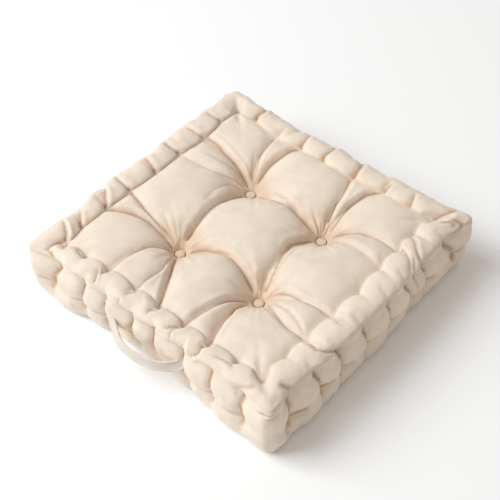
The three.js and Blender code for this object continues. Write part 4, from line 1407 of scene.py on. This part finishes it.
@dataclass
class PanelSurface:
    """The surface of the top panel or the bottom panel inside its seam line.

    line is the seam line's points. The fan_ fields are the fine wrinkles that fan out from each
    button. The fade fields are the distances from the seam line over which each form starts.
    """

    form: CushionForm
    line: Array
    is_top: bool
    creased: bool = True
    seam_fade: float = 4.0
    unevenness: float = 1.3
    fan_count: float = 7.0
    fan_length: float = 34.0
    fan_reach: float = 46.0
    fan_height: float = 2.0
    corner_softness: float = 7.0
    corner_width: float = 1.5
    corner_fades: Span = (8.0, 16.0)
    ripple_size: float = 38.0
    ripple_fade: float = 20.0
    fan_fade: float = 15.0
    fan_start: float = 6.0
    gather_fade: float = 5.0
    gather_start: float = 1.4

    def lift(self, xy: Array) -> Array:
        """Lifts plan points to the panel's surface.

        Args:
            xy: (n, 2) plan points.

        Returns:
            (n, 3) points.
        """
        distance, line_up = self._from_line(xy)
        shorter, line_up = self._evened_corners(xy, distance, line_up)
        rise = 1 - np.exp(-shorter / self.form.edge_softness)
        sink = self.form.sink(xy)
        if self.is_top:
            inside = self.form.crown - sink
        else:
            inside = np.maximum(0, sink - self.form.settle)
        up = np.where(distance < 1e-6, line_up, lerp(line_up, inside, rise))
        if self.is_top and self.creased:
            flat = np.concatenate([xy, np.zeros((len(xy), 1))], axis=1)
            up = up + self.creases(xy)[0] * ease(distance, 0, self.seam_fade)
            uneven = self.unevenness * ripple(flat, self.ripple_size)
            up = up + uneven * ease(distance, 0, self.ripple_fade) * self._off_tufts(xy)
            up = up + self._fans(xy) * ease(distance, 0, self.fan_fade)
        return np.concatenate([xy, up[:, None]], axis=1)

    def _evened_corners(self, xy: Array, distance: Array, up: Array) -> tuple[Array, Array]:
        """Evens out the sharp change between two sides along the corners' diagonals.

        Args:
            xy: (n, 2) plan points.
            distance: (n,) their distances from the seam line.
            up: (n,) the seam line's heights there.

        Returns:
            (n,) distances and (n,) heights that change evenly across the diagonals.
        """
        corners = self.line[np.arange(len(SIDES)) * len(self.line) // len(SIDES)]
        offset = np.abs(xy[:, None] - corners[None, :, :2])
        nearest = np.hypot(*offset.transpose(2, 0, 1)).argmin(axis=1)
        offset = offset[np.arange(len(xy)), nearest]
        off_diagonal = np.abs(offset[:, 0] - offset[:, 1]) / self.corner_softness
        shorter = self.corner_softness * np.log1p(np.exp(-off_diagonal))
        near, far = self.corner_fades
        corner_share = np.exp(-((off_diagonal / self.corner_width) ** 2)) * ease(distance, 0, near)
        return (
            np.maximum(distance - shorter * ease(distance, 0, far), 0),
            lerp(up, corners[nearest, 2], corner_share),
        )

    def _fans(self, xy: Array) -> Array:
        """Gives the height of the fine wrinkles that fan out from each button.

        Args:
            xy: (n, 2) plan points.

        Returns:
            (n,) heights.
        """
        height = np.zeros(len(xy))
        for index, tuft in enumerate(TUFT_POINTS):
            offset = xy - tuft
            reach = np.maximum(np.hypot(*offset.T), 1e-6)
            around = offset / reach[:, None] * self.fan_count
            at = np.column_stack([around, reach / self.fan_length])
            fade = ease(reach, self.form.cup_radius, self.form.cup_radius + self.fan_start)
            fade = fade * np.exp(-((reach / self.fan_reach) ** 2))
            height += self.fan_height * fade * ripple(at, 1.0, 20 + index)
        return height

    def gather(self, xy: Array) -> Array:
        """Draws the panel's mesh points towards its creases.

        Args:
            xy: (n, 2) plan points.

        Returns:
            (n, 2) plan points, the same ones on the seam line and under the buttons.
        """
        free = ease(self._from_line(xy)[0], 0, self.gather_fade)
        free = free * self._off_tufts(xy, self.gather_start)
        moved = xy.copy()
        for crease in CREASES:
            way = Way.through(crease.way)
            low, high = way.points.min(0) - GATHER_MARGIN, way.points.max(0) + GATHER_MARGIN
            inside = ((moved > low) & (moved < high)).all(axis=1)
            near = moved[inside]
            moved[inside] = lerp(near, crease.gathered(near, way), free[inside][:, None])
        return moved

    def _off_tufts(self, xy: Array, reach_share: float = 3.0) -> Array:
        """Gives 0 at the buttons and 1 at some times their radius away from them."""
        return ease(from_tufts(xy), self.form.cup_radius, reach_share * self.form.cup_radius)

    def _from_line(self, xy: Array) -> tuple[Array, Array]:
        """Gives each plan point's distance from the seam line, and the line's height there.

        Args:
            xy: (n, 2) plan points.

        Returns:
            (n,) distances and (n,) heights.
        """
        tree = KDTree(len(self.line))
        for index, point in enumerate(self.line):
            tree.insert((point[0], point[1], 0), index)
        tree.balance()
        near = np.array([tree.find((x, y, 0))[1] for x, y in xy])
        best, up = np.full(len(xy), np.inf), np.zeros(len(xy))
        for step in (-1, 0):
            a, b = (self.line[(near + step + end) % len(self.line)] for end in (0, 1))
            way = b[:, :2] - a[:, :2]
            share = np.clip(((xy - a[:, :2]) * way).sum(1) / (way**2).sum(1), 0, 1)
            distance = np.hypot(*(xy - a[:, :2] - way * share[:, None]).T)
            closer = distance < best
            best = np.where(closer, distance, best)
            up = np.where(closer, lerp(a[:, 2], b[:, 2], share), up)
        return best, up

    def creases(self, xy: Array) -> tuple[Array, Array]:
        """Gives the height that the sharp creases add, and how dark their painted shade is.

        Args:
            xy: (n, 2) plan points.

        Returns:
            (n,) heights, below 0 in a crease, and (n,) darknesses of their painted shade.
        """
        cuts = []
        for crease in CREASES:
            knots = np.array(crease.way, float)
            margin = PANEL_MARGIN * crease.width + LIP_MARGIN * crease.reach
            inside = ((xy > knots.min(0) - margin) & (xy < knots.max(0) + margin)).all(axis=1)
            cuts.append((crease, Way.through(crease.way), inside, xy[inside]))
        return crease_relief(len(xy), cuts)


@dataclass
class FilledCloth:
    """Lets the cover swell and wrinkle between its stitches, as cloth with a filling inside.

    The broad form is remeshed evenly and held at its stitches, its buttons, its folds and its
    resting face. voxel is the remesh's size, and pressure, spare (the cloth that is too much),
    bending, stiffness and mass are the cloth's. wide_share is the share that is kept of its wide
    moves, since the broad form has most of them already, and panel_share and roll_share are the
    shares of its moves that the panels and the rolls keep, by roll_heights above the floor or
    below the crown and by rim, the distances from the middle. No point moves further than cap.
    held_rows are the rows of the two seam lines' stitches. full_fold is the depth of a fold that
    is held by all of fold_hold. carry_count of the cloth's points, close by, move one of the
    cover's, each the less the further away it is.
    """

    form: CushionForm
    voxel: float = 5.0
    frames: int = 12
    pressure: float = 4.0
    spare: float = 0.05
    bending: float = 0.03
    stiffness: float = 12.0
    damping: float = 5.0
    mass: float = 0.003
    hold_reach: float = 6.0
    fold_hold: float = 0.35
    wide_rounds: int = 50
    wide_share: float = 0.3
    panel_share: float = 0.4
    roll_share: float = 0.5
    roll_heights: Span = (18.0, 36.0)
    rim: Span = (172.0, 194.0)
    cap: float = 5.0
    held_rows: Span = (1.0, 17.0)
    full_fold: float = 12.0
    fold_reach: float = 5.0
    button_reach: float = 10.0
    floor_heights: Span = (1.0, 5.0)
    least_held: float = 0.01
    quality: int = 5
    carry_count: int = 8
    carry_reach: float = 0.7

    def fill(self, cover: bpy.types.Object) -> None:
        """Runs the simulation and carries its moves to the cover.

        Args:
            cover: the cover with its creases, which is changed.
        """
        cloth = self._even_cloth()
        rest = mesh_points(cloth.data)
        self._hold(cloth, self._held(rest))
        self._add_cloth(cloth)
        for frame in range(1, self.frames + 1):
            bpy.context.scene.frame_set(frame)
        settled = cloth.evaluated_get(bpy.context.evaluated_depsgraph_get()).data
        move = mesh_points(settled) - rest
        move -= (1 - self.wide_share) * smoothed(cloth.data, move, self.wide_rounds)
        from_middle = np.abs(rest[:, :2]).max(axis=1)
        from_rim = np.minimum(rest[:, 2], self.form.crown - rest[:, 2])
        at_rim = lerp(self.roll_share, 1.0, ease(from_rim, *self.roll_heights))
        move *= lerp(self.panel_share, at_rim, ease(from_middle, *self.rim))[:, None]
        length = np.linalg.norm(move, axis=1)
        capped = np.tanh(length / self.cap) * self.cap
        move *= (capped / np.maximum(length, SMALL))[:, None]
        log.info("cloth of %d points moved %.1f mm at most", len(rest), capped.max())
        self._carry(cover, rest, move)
        used = cloth.data
        bpy.data.objects.remove(cloth)
        bpy.data.meshes.remove(used)
        bpy.context.scene.frame_set(1)

    def _even_cloth(self) -> bpy.types.Object:
        """Makes the broad form as an evenly remeshed object.

        Returns:
            The object.
        """
        coarse = {"columns": 16, "upper_steps": 2, "lower_steps": 2, "top_rows": 26}
        broad = Cover(self.form, **coarse, creased=False).build()
        remesh = broad.modifiers.new("even", "REMESH")
        remesh.mode = "VOXEL"
        remesh.voxel_size = self.voxel * MM
        remeshed = broad.evaluated_get(bpy.context.evaluated_depsgraph_get())
        even = bpy.data.meshes.new_from_object(remeshed)
        bpy.data.objects.remove(broad)
        return linked("broad_form", even)

    def _held(self, rest: Array) -> Array:
        """Gives how firmly each point is held, from 0 to 1.

        Args:
            rest: (n, 3) the cloth's points.

        Returns:
            (n,) shares.
        """
        form = self.form
        top, bottom = self.held_rows
        stitches = [(top, place, min(1, pull)) for place, pull in enumerate(form.line_strength)]
        stitches += [(bottom, place, 1.0) for place in range(form.ring)]
        for stitch in form.side_stitches:
            stitches.append((form.upper_row, stitch.upper, stitch.pull))
            stitches.append((form.lower_row, stitch.lower, stitch.low_pull))
        rows, places, pulls = np.array(stitches, float).T
        held = np.zeros(len(rest))
        for point, pull in zip(form.edge(rows, places), pulls):
            gap = np.linalg.norm(rest - point, axis=1)
            held = np.maximum(held, pull * np.exp(-((gap / self.hold_reach) ** 2)))
        for way, depth, _ in form.fold_ways():
            gap = way.measure(rest[:, :2])[0]
            share = self.fold_hold * min(1, depth / self.full_fold) * (rest[:, 2] > form.crown / 2)
            held = np.maximum(held, share * np.exp(-((gap / self.fold_reach) ** 2)))
        free = form.cup_radius + self.button_reach
        held = np.maximum(held, 1 - ease(from_tufts(rest[:, :2]), form.cup_radius, free))
        held = np.maximum(held, 1 - ease(rest[:, 2], *self.floor_heights))
        return np.clip(held, 0, 1)

    def _hold(self, cloth: bpy.types.Object, held: Array) -> None:
        """Stores how firmly each point is held as a vertex group.

        Args:
            cloth: the object.
            held: (n,) shares from 0 to 1.
        """
        group = cloth.vertex_groups.new(name="held")
        for index in np.nonzero(held > self.least_held)[0].tolist():
            group.add([index], float(held[index]), "REPLACE")

    def _add_cloth(self, cloth: bpy.types.Object) -> None:
        """Gives the object its cloth simulation.

        Args:
            cloth: the object.
        """
        made = cloth.modifiers.new("cloth", "CLOTH")
        made.point_cache.frame_start = 1
        made.point_cache.frame_end = self.frames
        made.collision_settings.use_collision = False
        settings = made.settings
        settings.quality = self.quality
        settings.mass = self.mass
        settings.tension_stiffness = settings.compression_stiffness = self.stiffness
        settings.shear_stiffness = self.stiffness / 3
        settings.bending_stiffness = self.bending
        settings.tension_damping = settings.compression_damping = self.damping
        settings.shear_damping = self.damping
        settings.use_pressure = True
        settings.uniform_pressure_force = self.pressure
        settings.shrink_min = -self.spare
        settings.vertex_group_mass = "held"
        settings.effector_weights.gravity = 0

    def _carry(self, cover: bpy.types.Object, rest: Array, move: Array) -> None:
        """Carries the cloth's moves over to the cover.

        Args:
            cover: the cover, which is changed.
            rest: (n, 3) the cloth's points.
            move: (n, 3) how they moved.
        """
        tree = KDTree(len(rest))
        for index, point in enumerate(rest):
            tree.insert(point, index)
        tree.balance()
        points = mesh_points(cover.data)
        near = [tree.find_n(point, self.carry_count) for point in points]
        index = np.array([[found[1] for found in row] for row in near])
        gap = np.array([[found[2] for found in row] for row in near])
        share = np.exp(-(gap**2 - gap[:, :1] ** 2) / (self.carry_reach * self.voxel) ** 2)
        share /= share.sum(axis=1)[:, None]
        points += (move[index] * share[..., None]).sum(axis=1)
        points[:, 2] = np.maximum(points[:, 2], 0)
        place_points(cover.data, points)


@dataclass(frozen=True)
class StrapStation:
    """A place on the strap's way: along and out of the front side and up from the floor.

    turn is how far the band is turned about its way there, in degrees, and gather is its width
    there as a share of the whole width.
    """

    along: float
    out: float
    up: float
    turn: float
    gather: float = 1.0


@dataclass
class Strap:
    """The carrying strap, a hemmed band whose ends are sewn into the front side.

    across gives the points of its cross-section as shares of half its width. Its edges are round
    over edge_round, and it is thinner by thinned between its hems.
    """

    width: float = 18.0
    thickness: float = 2.4
    hem: float = 3.2
    hem_rise: float = 0.35
    steps: int = 150
    edge_round: float = 1.0
    thinned: float = 0.25
    across: Numbers = (
        -1, -0.96, -0.88, -0.74, -0.66, -0.6, -0.3, 0, 0.3, 0.6, 0.66, 0.74, 0.88, 0.96, 1,
    )
    stations: tuple[StrapStation, ...] = tuple(StrapStation(*row) for row in (
        (-77, 206, 75, -2, 0.5), (-75, 216, 72, -10, 0.6), (-65.5, 222.5, 66.5, -20, 0.75),
        (-53, 228.5, 59.5, -22, 0.9), (-41, 235, 53, -20, 0.97), (-29, 241.5, 49, -13),
        (-12, 245.5, 48, -9), (9, 246, 49, -8), (31, 243, 52, -8), (48, 237, 55, -8),
        (59, 230, 57, -14), (66.5, 222.5, 60, -34, 0.9), (69, 214, 65, -60, 0.8),
        (69, 205, 69, -75, 0.6),
    ))

    def way(self) -> tuple[Array, Array, Array]:
        """Gives the strap's way.

        Returns:
            (n, 3) points, (n,) turns in radians and (n,) gathers.
        """
        table = np.array([[s.along, -s.out, s.up, s.turn, s.gather] for s in self.stations])
        at = smooth_between(table, np.linspace(0, len(table) - 1, self.steps + 1))
        return at[:, :3], np.radians(at[:, 3]), np.clip(at[:, 4], 0, 1)

    def length(self) -> float:
        """Gives the strap's length in millimetres."""
        points = self.way()[0]
        return float(np.linalg.norm(np.diff(points, axis=0), axis=1).sum())

    def build(self) -> bpy.types.Object:
        """Builds the strap's mesh object.

        Returns:
            The strap.
        """
        points, turns, gathers = self.way()
        tangent = np.gradient(points, axis=0)
        tangent /= np.linalg.norm(tangent, axis=1)[:, None]
        upright = np.array([0, 0, 1.0]) - tangent * tangent[:, 2:3]
        upright /= np.linalg.norm(upright, axis=1)[:, None]
        side = np.cross(tangent, upright)
        width = upright * np.cos(turns)[:, None] + side * np.sin(turns)[:, None]
        face = np.cross(tangent, width)
        outline = self._outline()
        across = outline[None, :, 0] * gathers[:, None]
        deep = outline[None, :, 1] * (2 - gathers)[:, None]
        ring = points[:, None] + width[:, None] * across[..., None]
        ring = ring + face[:, None] * deep[..., None]
        count, around = ring.shape[:2]
        cap = np.array([[i, i + 1, around - 2 - i, around - 1 - i] for i in range(around // 2 - 1)])
        quads = [ring_quads(count, around), cap, (count - 1) * around + cap[:, ::-1]]
        return merged_object("carrying_strap", [Part(ring.reshape(-1, 3), np.concatenate(quads))])

    def _outline(self) -> Array:
        """Gives the band's cross-section, with raised hems along both edges.

        Returns:
            (n, 2) points, across and deep.
        """
        half, deep = self.width / 2, self.thickness / 2
        x = np.array(self.across) * half
        from_edge = half - np.abs(x)
        arch = np.sin(np.clip(from_edge / self.hem, 0, 1) * np.pi)
        rise = np.where(from_edge < self.hem, self.hem_rise, 0) * arch
        rounding = np.sqrt(np.clip(from_edge / self.edge_round, 0, 1))
        thinning = 1 - self.thinned * (from_edge > self.hem)
        top = np.stack([x, (deep * rounding) * thinning + rise], axis=1)
        return np.concatenate([top, top[::-1] * (1, -1)])


@dataclass
class CoveredButton:
    """A domed button covered with the cushion's cloth, gathered under its rim.

    profile gives its section from the middle of its back to its top, as shares of its radius and
    its height. The gathers end at a share of 1 / gather_fall of the height.
    """

    radius: float = 7.4
    height: float = 4.4
    gathers: int = 14
    gather_depth: float = 0.16
    around: int = 56
    gather_fall: float = 1.5
    gather_share: float = 0.4
    profile_steps: int = 34
    profile: Curve = (
        (0.0, 0.0), (0.7, 0.0), (0.9, 0.12), (0.99, 0.34), (1.0, 0.5), (0.95, 0.68),
        (0.82, 0.84), (0.62, 0.94), (0.38, 0.985), (0.16, 1.0), (0.0, 1.0),
    )

    def build(self, name: str, tuft: Tuft, base: float, is_top: bool) -> bpy.types.Object:
        """Builds one button's mesh object.

        Args:
            name: the object's name.
            tuft: its plan place.
            base: height of its flat back.
            is_top: whether it faces up.

        Returns:
            The button.
        """
        at = np.linspace(0, len(self.profile) - 1, self.profile_steps)
        rows = smooth_between(np.array(self.profile, float), at)
        rows[:, 0] = np.clip(rows[:, 0], 0, None)
        angle = np.arange(self.around) * 2 * np.pi / self.around
        low = np.clip(1 - rows[:, 1] * self.gather_fall, 0, 1)[:, None]
        wave = self.gather_depth * low * self.gather_share * np.cos(self.gathers * angle)[None]
        reach = rows[:, :1] * (1 + wave) * self.radius
        up = np.broadcast_to(rows[:, 1:] * self.height, reach.shape)
        sign = 1 if is_top else -1
        x, y = tuft.value
        x, y = x + reach * np.cos(angle), y + reach * np.sin(angle) * sign
        points = np.stack([x, y, base + sign * up], axis=2).reshape(-1, 3)
        return merged_object(name, [Part(points, ring_quads(len(rows), self.around, True))])


@dataclass(frozen=True)
class CottonFinish:
    """A cream cotton: finely woven and softly mottled, with warm painted shade in its folds.

    The _share fields say how much of the painted fold shade colour or the painted crease shade
    colour each mark on the points gives.
    mottle, blotch and nap are the scale and the detail of their noise, and the _range fields how
    far the first two change the colour. Lengths are in metres.
    """

    name: str
    colour: Triple
    # Painted shade colours: tan for folds and hollows, brown for crease bottoms.
    painted_fold_shade_colour: Triple
    painted_crease_shade_colour: Triple = (0.42, 0.26, 0.15)
    painted_crease_shade_share: float = 0.75
    painted_fold_shade_share: float = 0.4
    painted_hollow_shade_share: float = 0.9
    painted_sunk_shade_share: float = 0.62
    thread_pitch: float = 0.0007
    roughness: float = 0.85
    sheen: float = 0.45
    sheen_roughness: float = 0.4
    mottle: Span = (45.0, 3.0)
    mottle_range: Span = (0.95, 1.05)
    blotch: Span = (9.0, 2.0)
    blotch_range: Span = (-0.04, 0.04)
    nap: Span = (420.0, 2.0)
    weave_height: float = 0.6
    nap_height: float = 0.5
    bump_strength: float = 0.35
    bump_distance: float = 0.0005

    def material(self) -> bpy.types.Material:
        """Makes the finish's material.

        Returns:
            The material.
        """
        made = bpy.data.materials.new(self.name)
        made.use_nodes = True
        nodes = NodeDesk(made.node_tree)
        shader = made.node_tree.nodes["Principled BSDF"]
        shader.inputs["Roughness"].default_value = self.roughness
        shader.inputs["Sheen Weight"].default_value = self.sheen
        shader.inputs["Sheen Roughness"].default_value = self.sheen_roughness
        place = nodes.add("ShaderNodeTexCoord").outputs["Object"]
        # Painted shade: marks of folds and dips mix in tan, the crease mark in brown.
        fold = nodes.scaled(nodes.attribute("fold"), self.painted_fold_shade_share)
        hollow = nodes.scaled(nodes.attribute("hollow"), self.painted_hollow_shade_share)
        sunk = nodes.scaled(nodes.attribute("sunk"), self.painted_sunk_shade_share)
        painted_shade = nodes.maths("MAXIMUM", nodes.maths("MAXIMUM", fold, hollow), sunk)
        cloth = nodes.mix(painted_shade, self.colour, self.painted_fold_shade_colour)
        crease = nodes.scaled(nodes.attribute("crease"), self.painted_crease_shade_share)
        cloth = nodes.mix(crease, cloth, self.painted_crease_shade_colour)
        mottle = nodes.noise(place, *self.mottle)
        blotch = nodes.noise(place, *self.blotch)
        mottle = nodes.spread(mottle, *self.mottle_range)
        shade = nodes.maths("ADD", mottle, nodes.spread(blotch, *self.blotch_range))
        made.node_tree.links.new(nodes.tinted(cloth, shade), shader.inputs["Base Color"])
        weave = nodes.weave(place, self.thread_pitch)
        nap = nodes.noise(place, *self.nap)
        weave = nodes.scaled(weave, self.weave_height)
        height = nodes.maths("ADD", weave, nodes.scaled(nap, self.nap_height))
        bump = nodes.add("ShaderNodeBump")
        bump.inputs["Strength"].default_value = self.bump_strength
        bump.inputs["Distance"].default_value = self.bump_distance
        made.node_tree.links.new(height, bump.inputs["Height"])
        made.node_tree.links.new(bump.outputs["Normal"], shader.inputs["Normal"])
        return made


@dataclass
class NodeDesk:
    """Adds nodes to a material's tree and joins them up.

    Noise lies mostly between the numbers of noise_span. thread_waver and thread_detail are how
    uneven a weave's threads are.
    """

    tree: bpy.types.ShaderNodeTree
    noise_span: Span = (0.3, 0.7)
    thread_waver: float = 0.6
    thread_detail: float = 1.0

    def add(self, kind: str) -> bpy.types.ShaderNode:
        """Adds a node."""
        return self.tree.nodes.new(kind)

    def attribute(self, name: str) -> Socket:
        """Reads a number stored on the mesh's points.

        Args:
            name: the name that it is stored under.

        Returns:
            The number's socket.
        """
        node = self.add("ShaderNodeAttribute")
        node.attribute_name = name
        return node.outputs["Fac"]

    def maths(self, operation: str, first: Socket, second: object) -> Socket:
        """Joins two numbers.

        Args:
            operation: the operation's name.
            first: a socket.
            second: a socket or a number.

        Returns:
            The result's socket.
        """
        node = self.add("ShaderNodeMath")
        node.operation = operation
        self.tree.links.new(first, node.inputs[0])
        if isinstance(second, (int, float)):
            node.inputs[1].default_value = second
        else:
            self.tree.links.new(second, node.inputs[1])
        return node.outputs[0]

    def scaled(self, value: Socket, share: float) -> Socket:
        """Multiplies a number by a share."""
        return self.maths("MULTIPLY", value, share)

    def spread(self, value: Socket, low: float, high: float) -> Socket:
        """Spreads a noise value between two numbers.

        Args:
            value: the number's socket.
            low: the result for a low value.
            high: the result for a high value.

        Returns:
            The result's socket.
        """
        node = self.add("ShaderNodeMapRange")
        self.tree.links.new(value, node.inputs["Value"])
        names = "From Min", "From Max", "To Min", "To Max"
        for name, end in zip(names, (*self.noise_span, low, high)):
            node.inputs[name].default_value = end
        return node.outputs["Result"]

    def mix(self, share: Socket, first: object, second: tuple) -> Socket:
        """Mixes two colours by a share.

        Args:
            share: the second colour's share.
            first: a colour or the socket of one.
            second: a colour.

        Returns:
            The mixed colour's socket.
        """
        node = self.add("ShaderNodeMix")
        node.data_type = "RGBA"
        self.tree.links.new(share, node.inputs[0])
        if isinstance(first, tuple):
            node.inputs[6].default_value = (*first, 1)
        else:
            self.tree.links.new(first, node.inputs[6])
        node.inputs[7].default_value = (*second, 1)
        return node.outputs[2]

    def tinted(self, colour: Socket, value: Socket) -> Socket:
        """Multiplies a colour by a number.

        Args:
            colour: the colour's socket.
            value: the number's socket.

        Returns:
            The result's socket.
        """
        node = self.add("ShaderNodeVectorMath")
        node.operation = "SCALE"
        self.tree.links.new(colour, node.inputs[0])
        self.tree.links.new(value, node.inputs["Scale"])
        return node.outputs[0]

    def noise(self, place: Socket, scale: float, detail: float) -> Socket:
        """Adds a noise texture.

        Args:
            place: the texture's coordinates.
            scale: how fine the noise is.
            detail: how many finer layers it has.

        Returns:
            The result's socket.
        """
        node = self.add("ShaderNodeTexNoise")
        self.tree.links.new(place, node.inputs["Vector"])
        node.inputs["Scale"].default_value = scale
        node.inputs["Detail"].default_value = detail
        return node.outputs[0]

    def weave(self, place: Socket, pitch: float) -> Socket:
        """Adds the height of a plain weave's threads.

        Args:
            place: the texture's coordinates, in metres.
            pitch: from one thread to the next, in metres.

        Returns:
            The height's socket.
        """
        bands = []
        for direction in ("X", "Y"):
            node = self.add("ShaderNodeTexWave")
            node.bands_direction = direction
            self.tree.links.new(place, node.inputs["Vector"])
            node.inputs["Scale"].default_value = math.pi / 10 / pitch
            node.inputs["Distortion"].default_value = self.thread_waver
            node.inputs["Detail"].default_value = self.thread_detail
            bands.append(node.outputs["Fac"])
        return self.maths("MULTIPLY", bands[0], bands[1])


@dataclass
class Studio:
    """The pale floor, the soft lights and the camera at the photograph's angle.

    The camera looks from azimuth and elevation at a distance, with its focal length in pixels of
    the 500-pixel frame, and is shifted by shift_x and shift_y across its view.
    """

    azimuth: float = 40.532
    elevation: float = 47.296
    distance: float = 1623.18
    focal_px: float = 1085.2
    frame_px: float = 500.0
    shift_x: float = -0.6
    shift_y: float = 36.19
    sensor: float = 36.0
    ambient: float = 0.505
    ambient_colour: Triple = (1.0, 0.945, 0.875)
    key_place: Triple = (-2750.0, -2350.0, 3550.0)
    key_size: float = 3400.0
    key_power: float = 258.0
    key_colour: Triple = (0.9, 0.95, 1.0)
    floor_half: float = 6000.0
    floor_colour: Triple = (0.92, 0.92, 0.92)
    floor_roughness: float = 0.9

    def build(self) -> None:
        """Builds the studio."""
        self._camera()
        self._floor()
        self._lights()
        settings = bpy.context.scene.view_settings
        settings.view_transform = "Standard"
        settings.look = "None"

    def _camera(self) -> None:
        """Makes the camera."""
        a, e = math.radians(self.azimuth), math.radians(self.elevation)
        back = Vector((math.sin(a) * math.cos(e), -math.cos(a) * math.cos(e), math.sin(e)))
        right = Vector((math.cos(a), math.sin(a), 0))
        up = back.cross(right)
        data = bpy.data.cameras.new("camera")
        data.sensor_width = self.sensor
        data.lens = self.focal_px / self.frame_px * self.sensor
        camera = linked("camera", data)
        place = back * self.distance + right * self.shift_x + up * self.shift_y
        turn = Matrix((right, up, back)).transposed()
        camera.matrix_world = Matrix.Translation(place * MM) @ turn.to_4x4()
        bpy.context.scene.camera = camera

    def _floor(self) -> None:
        """Makes the floor."""
        mesh = bpy.data.meshes.new("floor")
        half = self.floor_half * MM
        corners = [(-half, -half, 0), (half, -half, 0), (half, half, 0), (-half, half, 0)]
        mesh.from_pydata(corners, [], [(0, 1, 2, 3)])
        floor = linked("floor", mesh)
        made = bpy.data.materials.new("floor")
        made.use_nodes = True
        shader = made.node_tree.nodes["Principled BSDF"]
        shader.inputs["Base Color"].default_value = (*self.floor_colour, 1)
        shader.inputs["Roughness"].default_value = self.floor_roughness
        mesh.materials.append(made)

    def _lights(self) -> None:
        """Makes the surrounding light and the key light, which faces the cushion."""
        world = bpy.data.worlds.new("studio")
        bpy.context.scene.world = world
        world.use_nodes = True
        background = world.node_tree.nodes["Background"]
        background.inputs["Color"].default_value = (*self.ambient_colour, 1)
        background.inputs["Strength"].default_value = self.ambient
        data = bpy.data.lights.new("key", "AREA")
        data.size = self.key_size * MM
        data.energy = self.key_power
        data.color = self.key_colour
        key = linked("key", data)
        key.location = Vector(self.key_place) * MM
        key.rotation_mode = "QUATERNION"
        key.rotation_quaternion = Vector(self.key_place).to_track_quat("Z", "Y")


def cushion_piece(finish: CottonFinish) -> None:
    """Builds the cushion and gives it its finish.

    Args:
        finish: its finish.
    """
    form = CushionForm()
    cushion = Cover(form).build()
    FilledCloth(form).fill(cushion)
    relax_creases(cushion.data)
    mark_painted_shade_hollows(cushion.data)
    mark_painted_sunk_shade(cushion.data, form)
    cushion.data.materials.append(finish.material())
    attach(cushion, "root")
    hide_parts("cushion")
    log.info("cushion: %d faces", len(cushion.data.polygons))


def strap_piece(finish: CottonFinish) -> None:
    """Builds the strap and gives it its finish.

    Args:
        finish: its finish.
    """
    strap = Strap()
    made = strap.build()
    mark_painted_shade_hollows(made.data)
    made.data.materials.append(finish.material())
    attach(made, "root")
    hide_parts("strap")
    strap.length() * MM
    log.info("strap: %d faces", len(made.data.polygons))


def button_pieces(finish: CottonFinish) -> None:
    """Builds the eight covered buttons and gives them their finish.

    Args:
        finish: their finish.
    """
    form, button = CushionForm(), CoveredButton()
    material = finish.material()
    seat = form.sink(TUFT_POINTS[:1])[0]
    for tuft in TUFTS:
        for word, base, is_top in (
            ("top", form.crown - seat, True),
            ("under", seat - form.settle, False),
        ):
            name = f"button_{word}_{tuft.name.lower()}"
            made = button.build(name.replace("button", "button_cover"), tuft, base, is_top)
            mark_painted_shade_hollows(made.data)
            made.data.materials.append(material)
            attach(made, "root")
            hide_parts(name)
            log.info("%s: %d faces", name, len(made.data.polygons))


def main() -> None:
    """Builds the pillow and its studio."""
    logging.basicConfig(level=logging.INFO, format="%(name)s: %(message)s")
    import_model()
    Studio().build()
    cushion_piece(CottonFinish("cover_cotton", (0.79, 0.668, 0.552), (0.62, 0.425, 0.27)))
    # Strap cotton painted darker than the cover's: painted shade that tones down its lit face.
    strap_piece(CottonFinish("strap_cotton", (0.68, 0.61, 0.535), (0.6, 0.43, 0.3)))
    # Button cotton painted darker and warmer than the cover's: painted shade of their dimples.
    button_pieces(CottonFinish("button_cotton", (0.72, 0.56, 0.42), (0.6, 0.38, 0.23)))


if __name__ == "__main__":
    main()
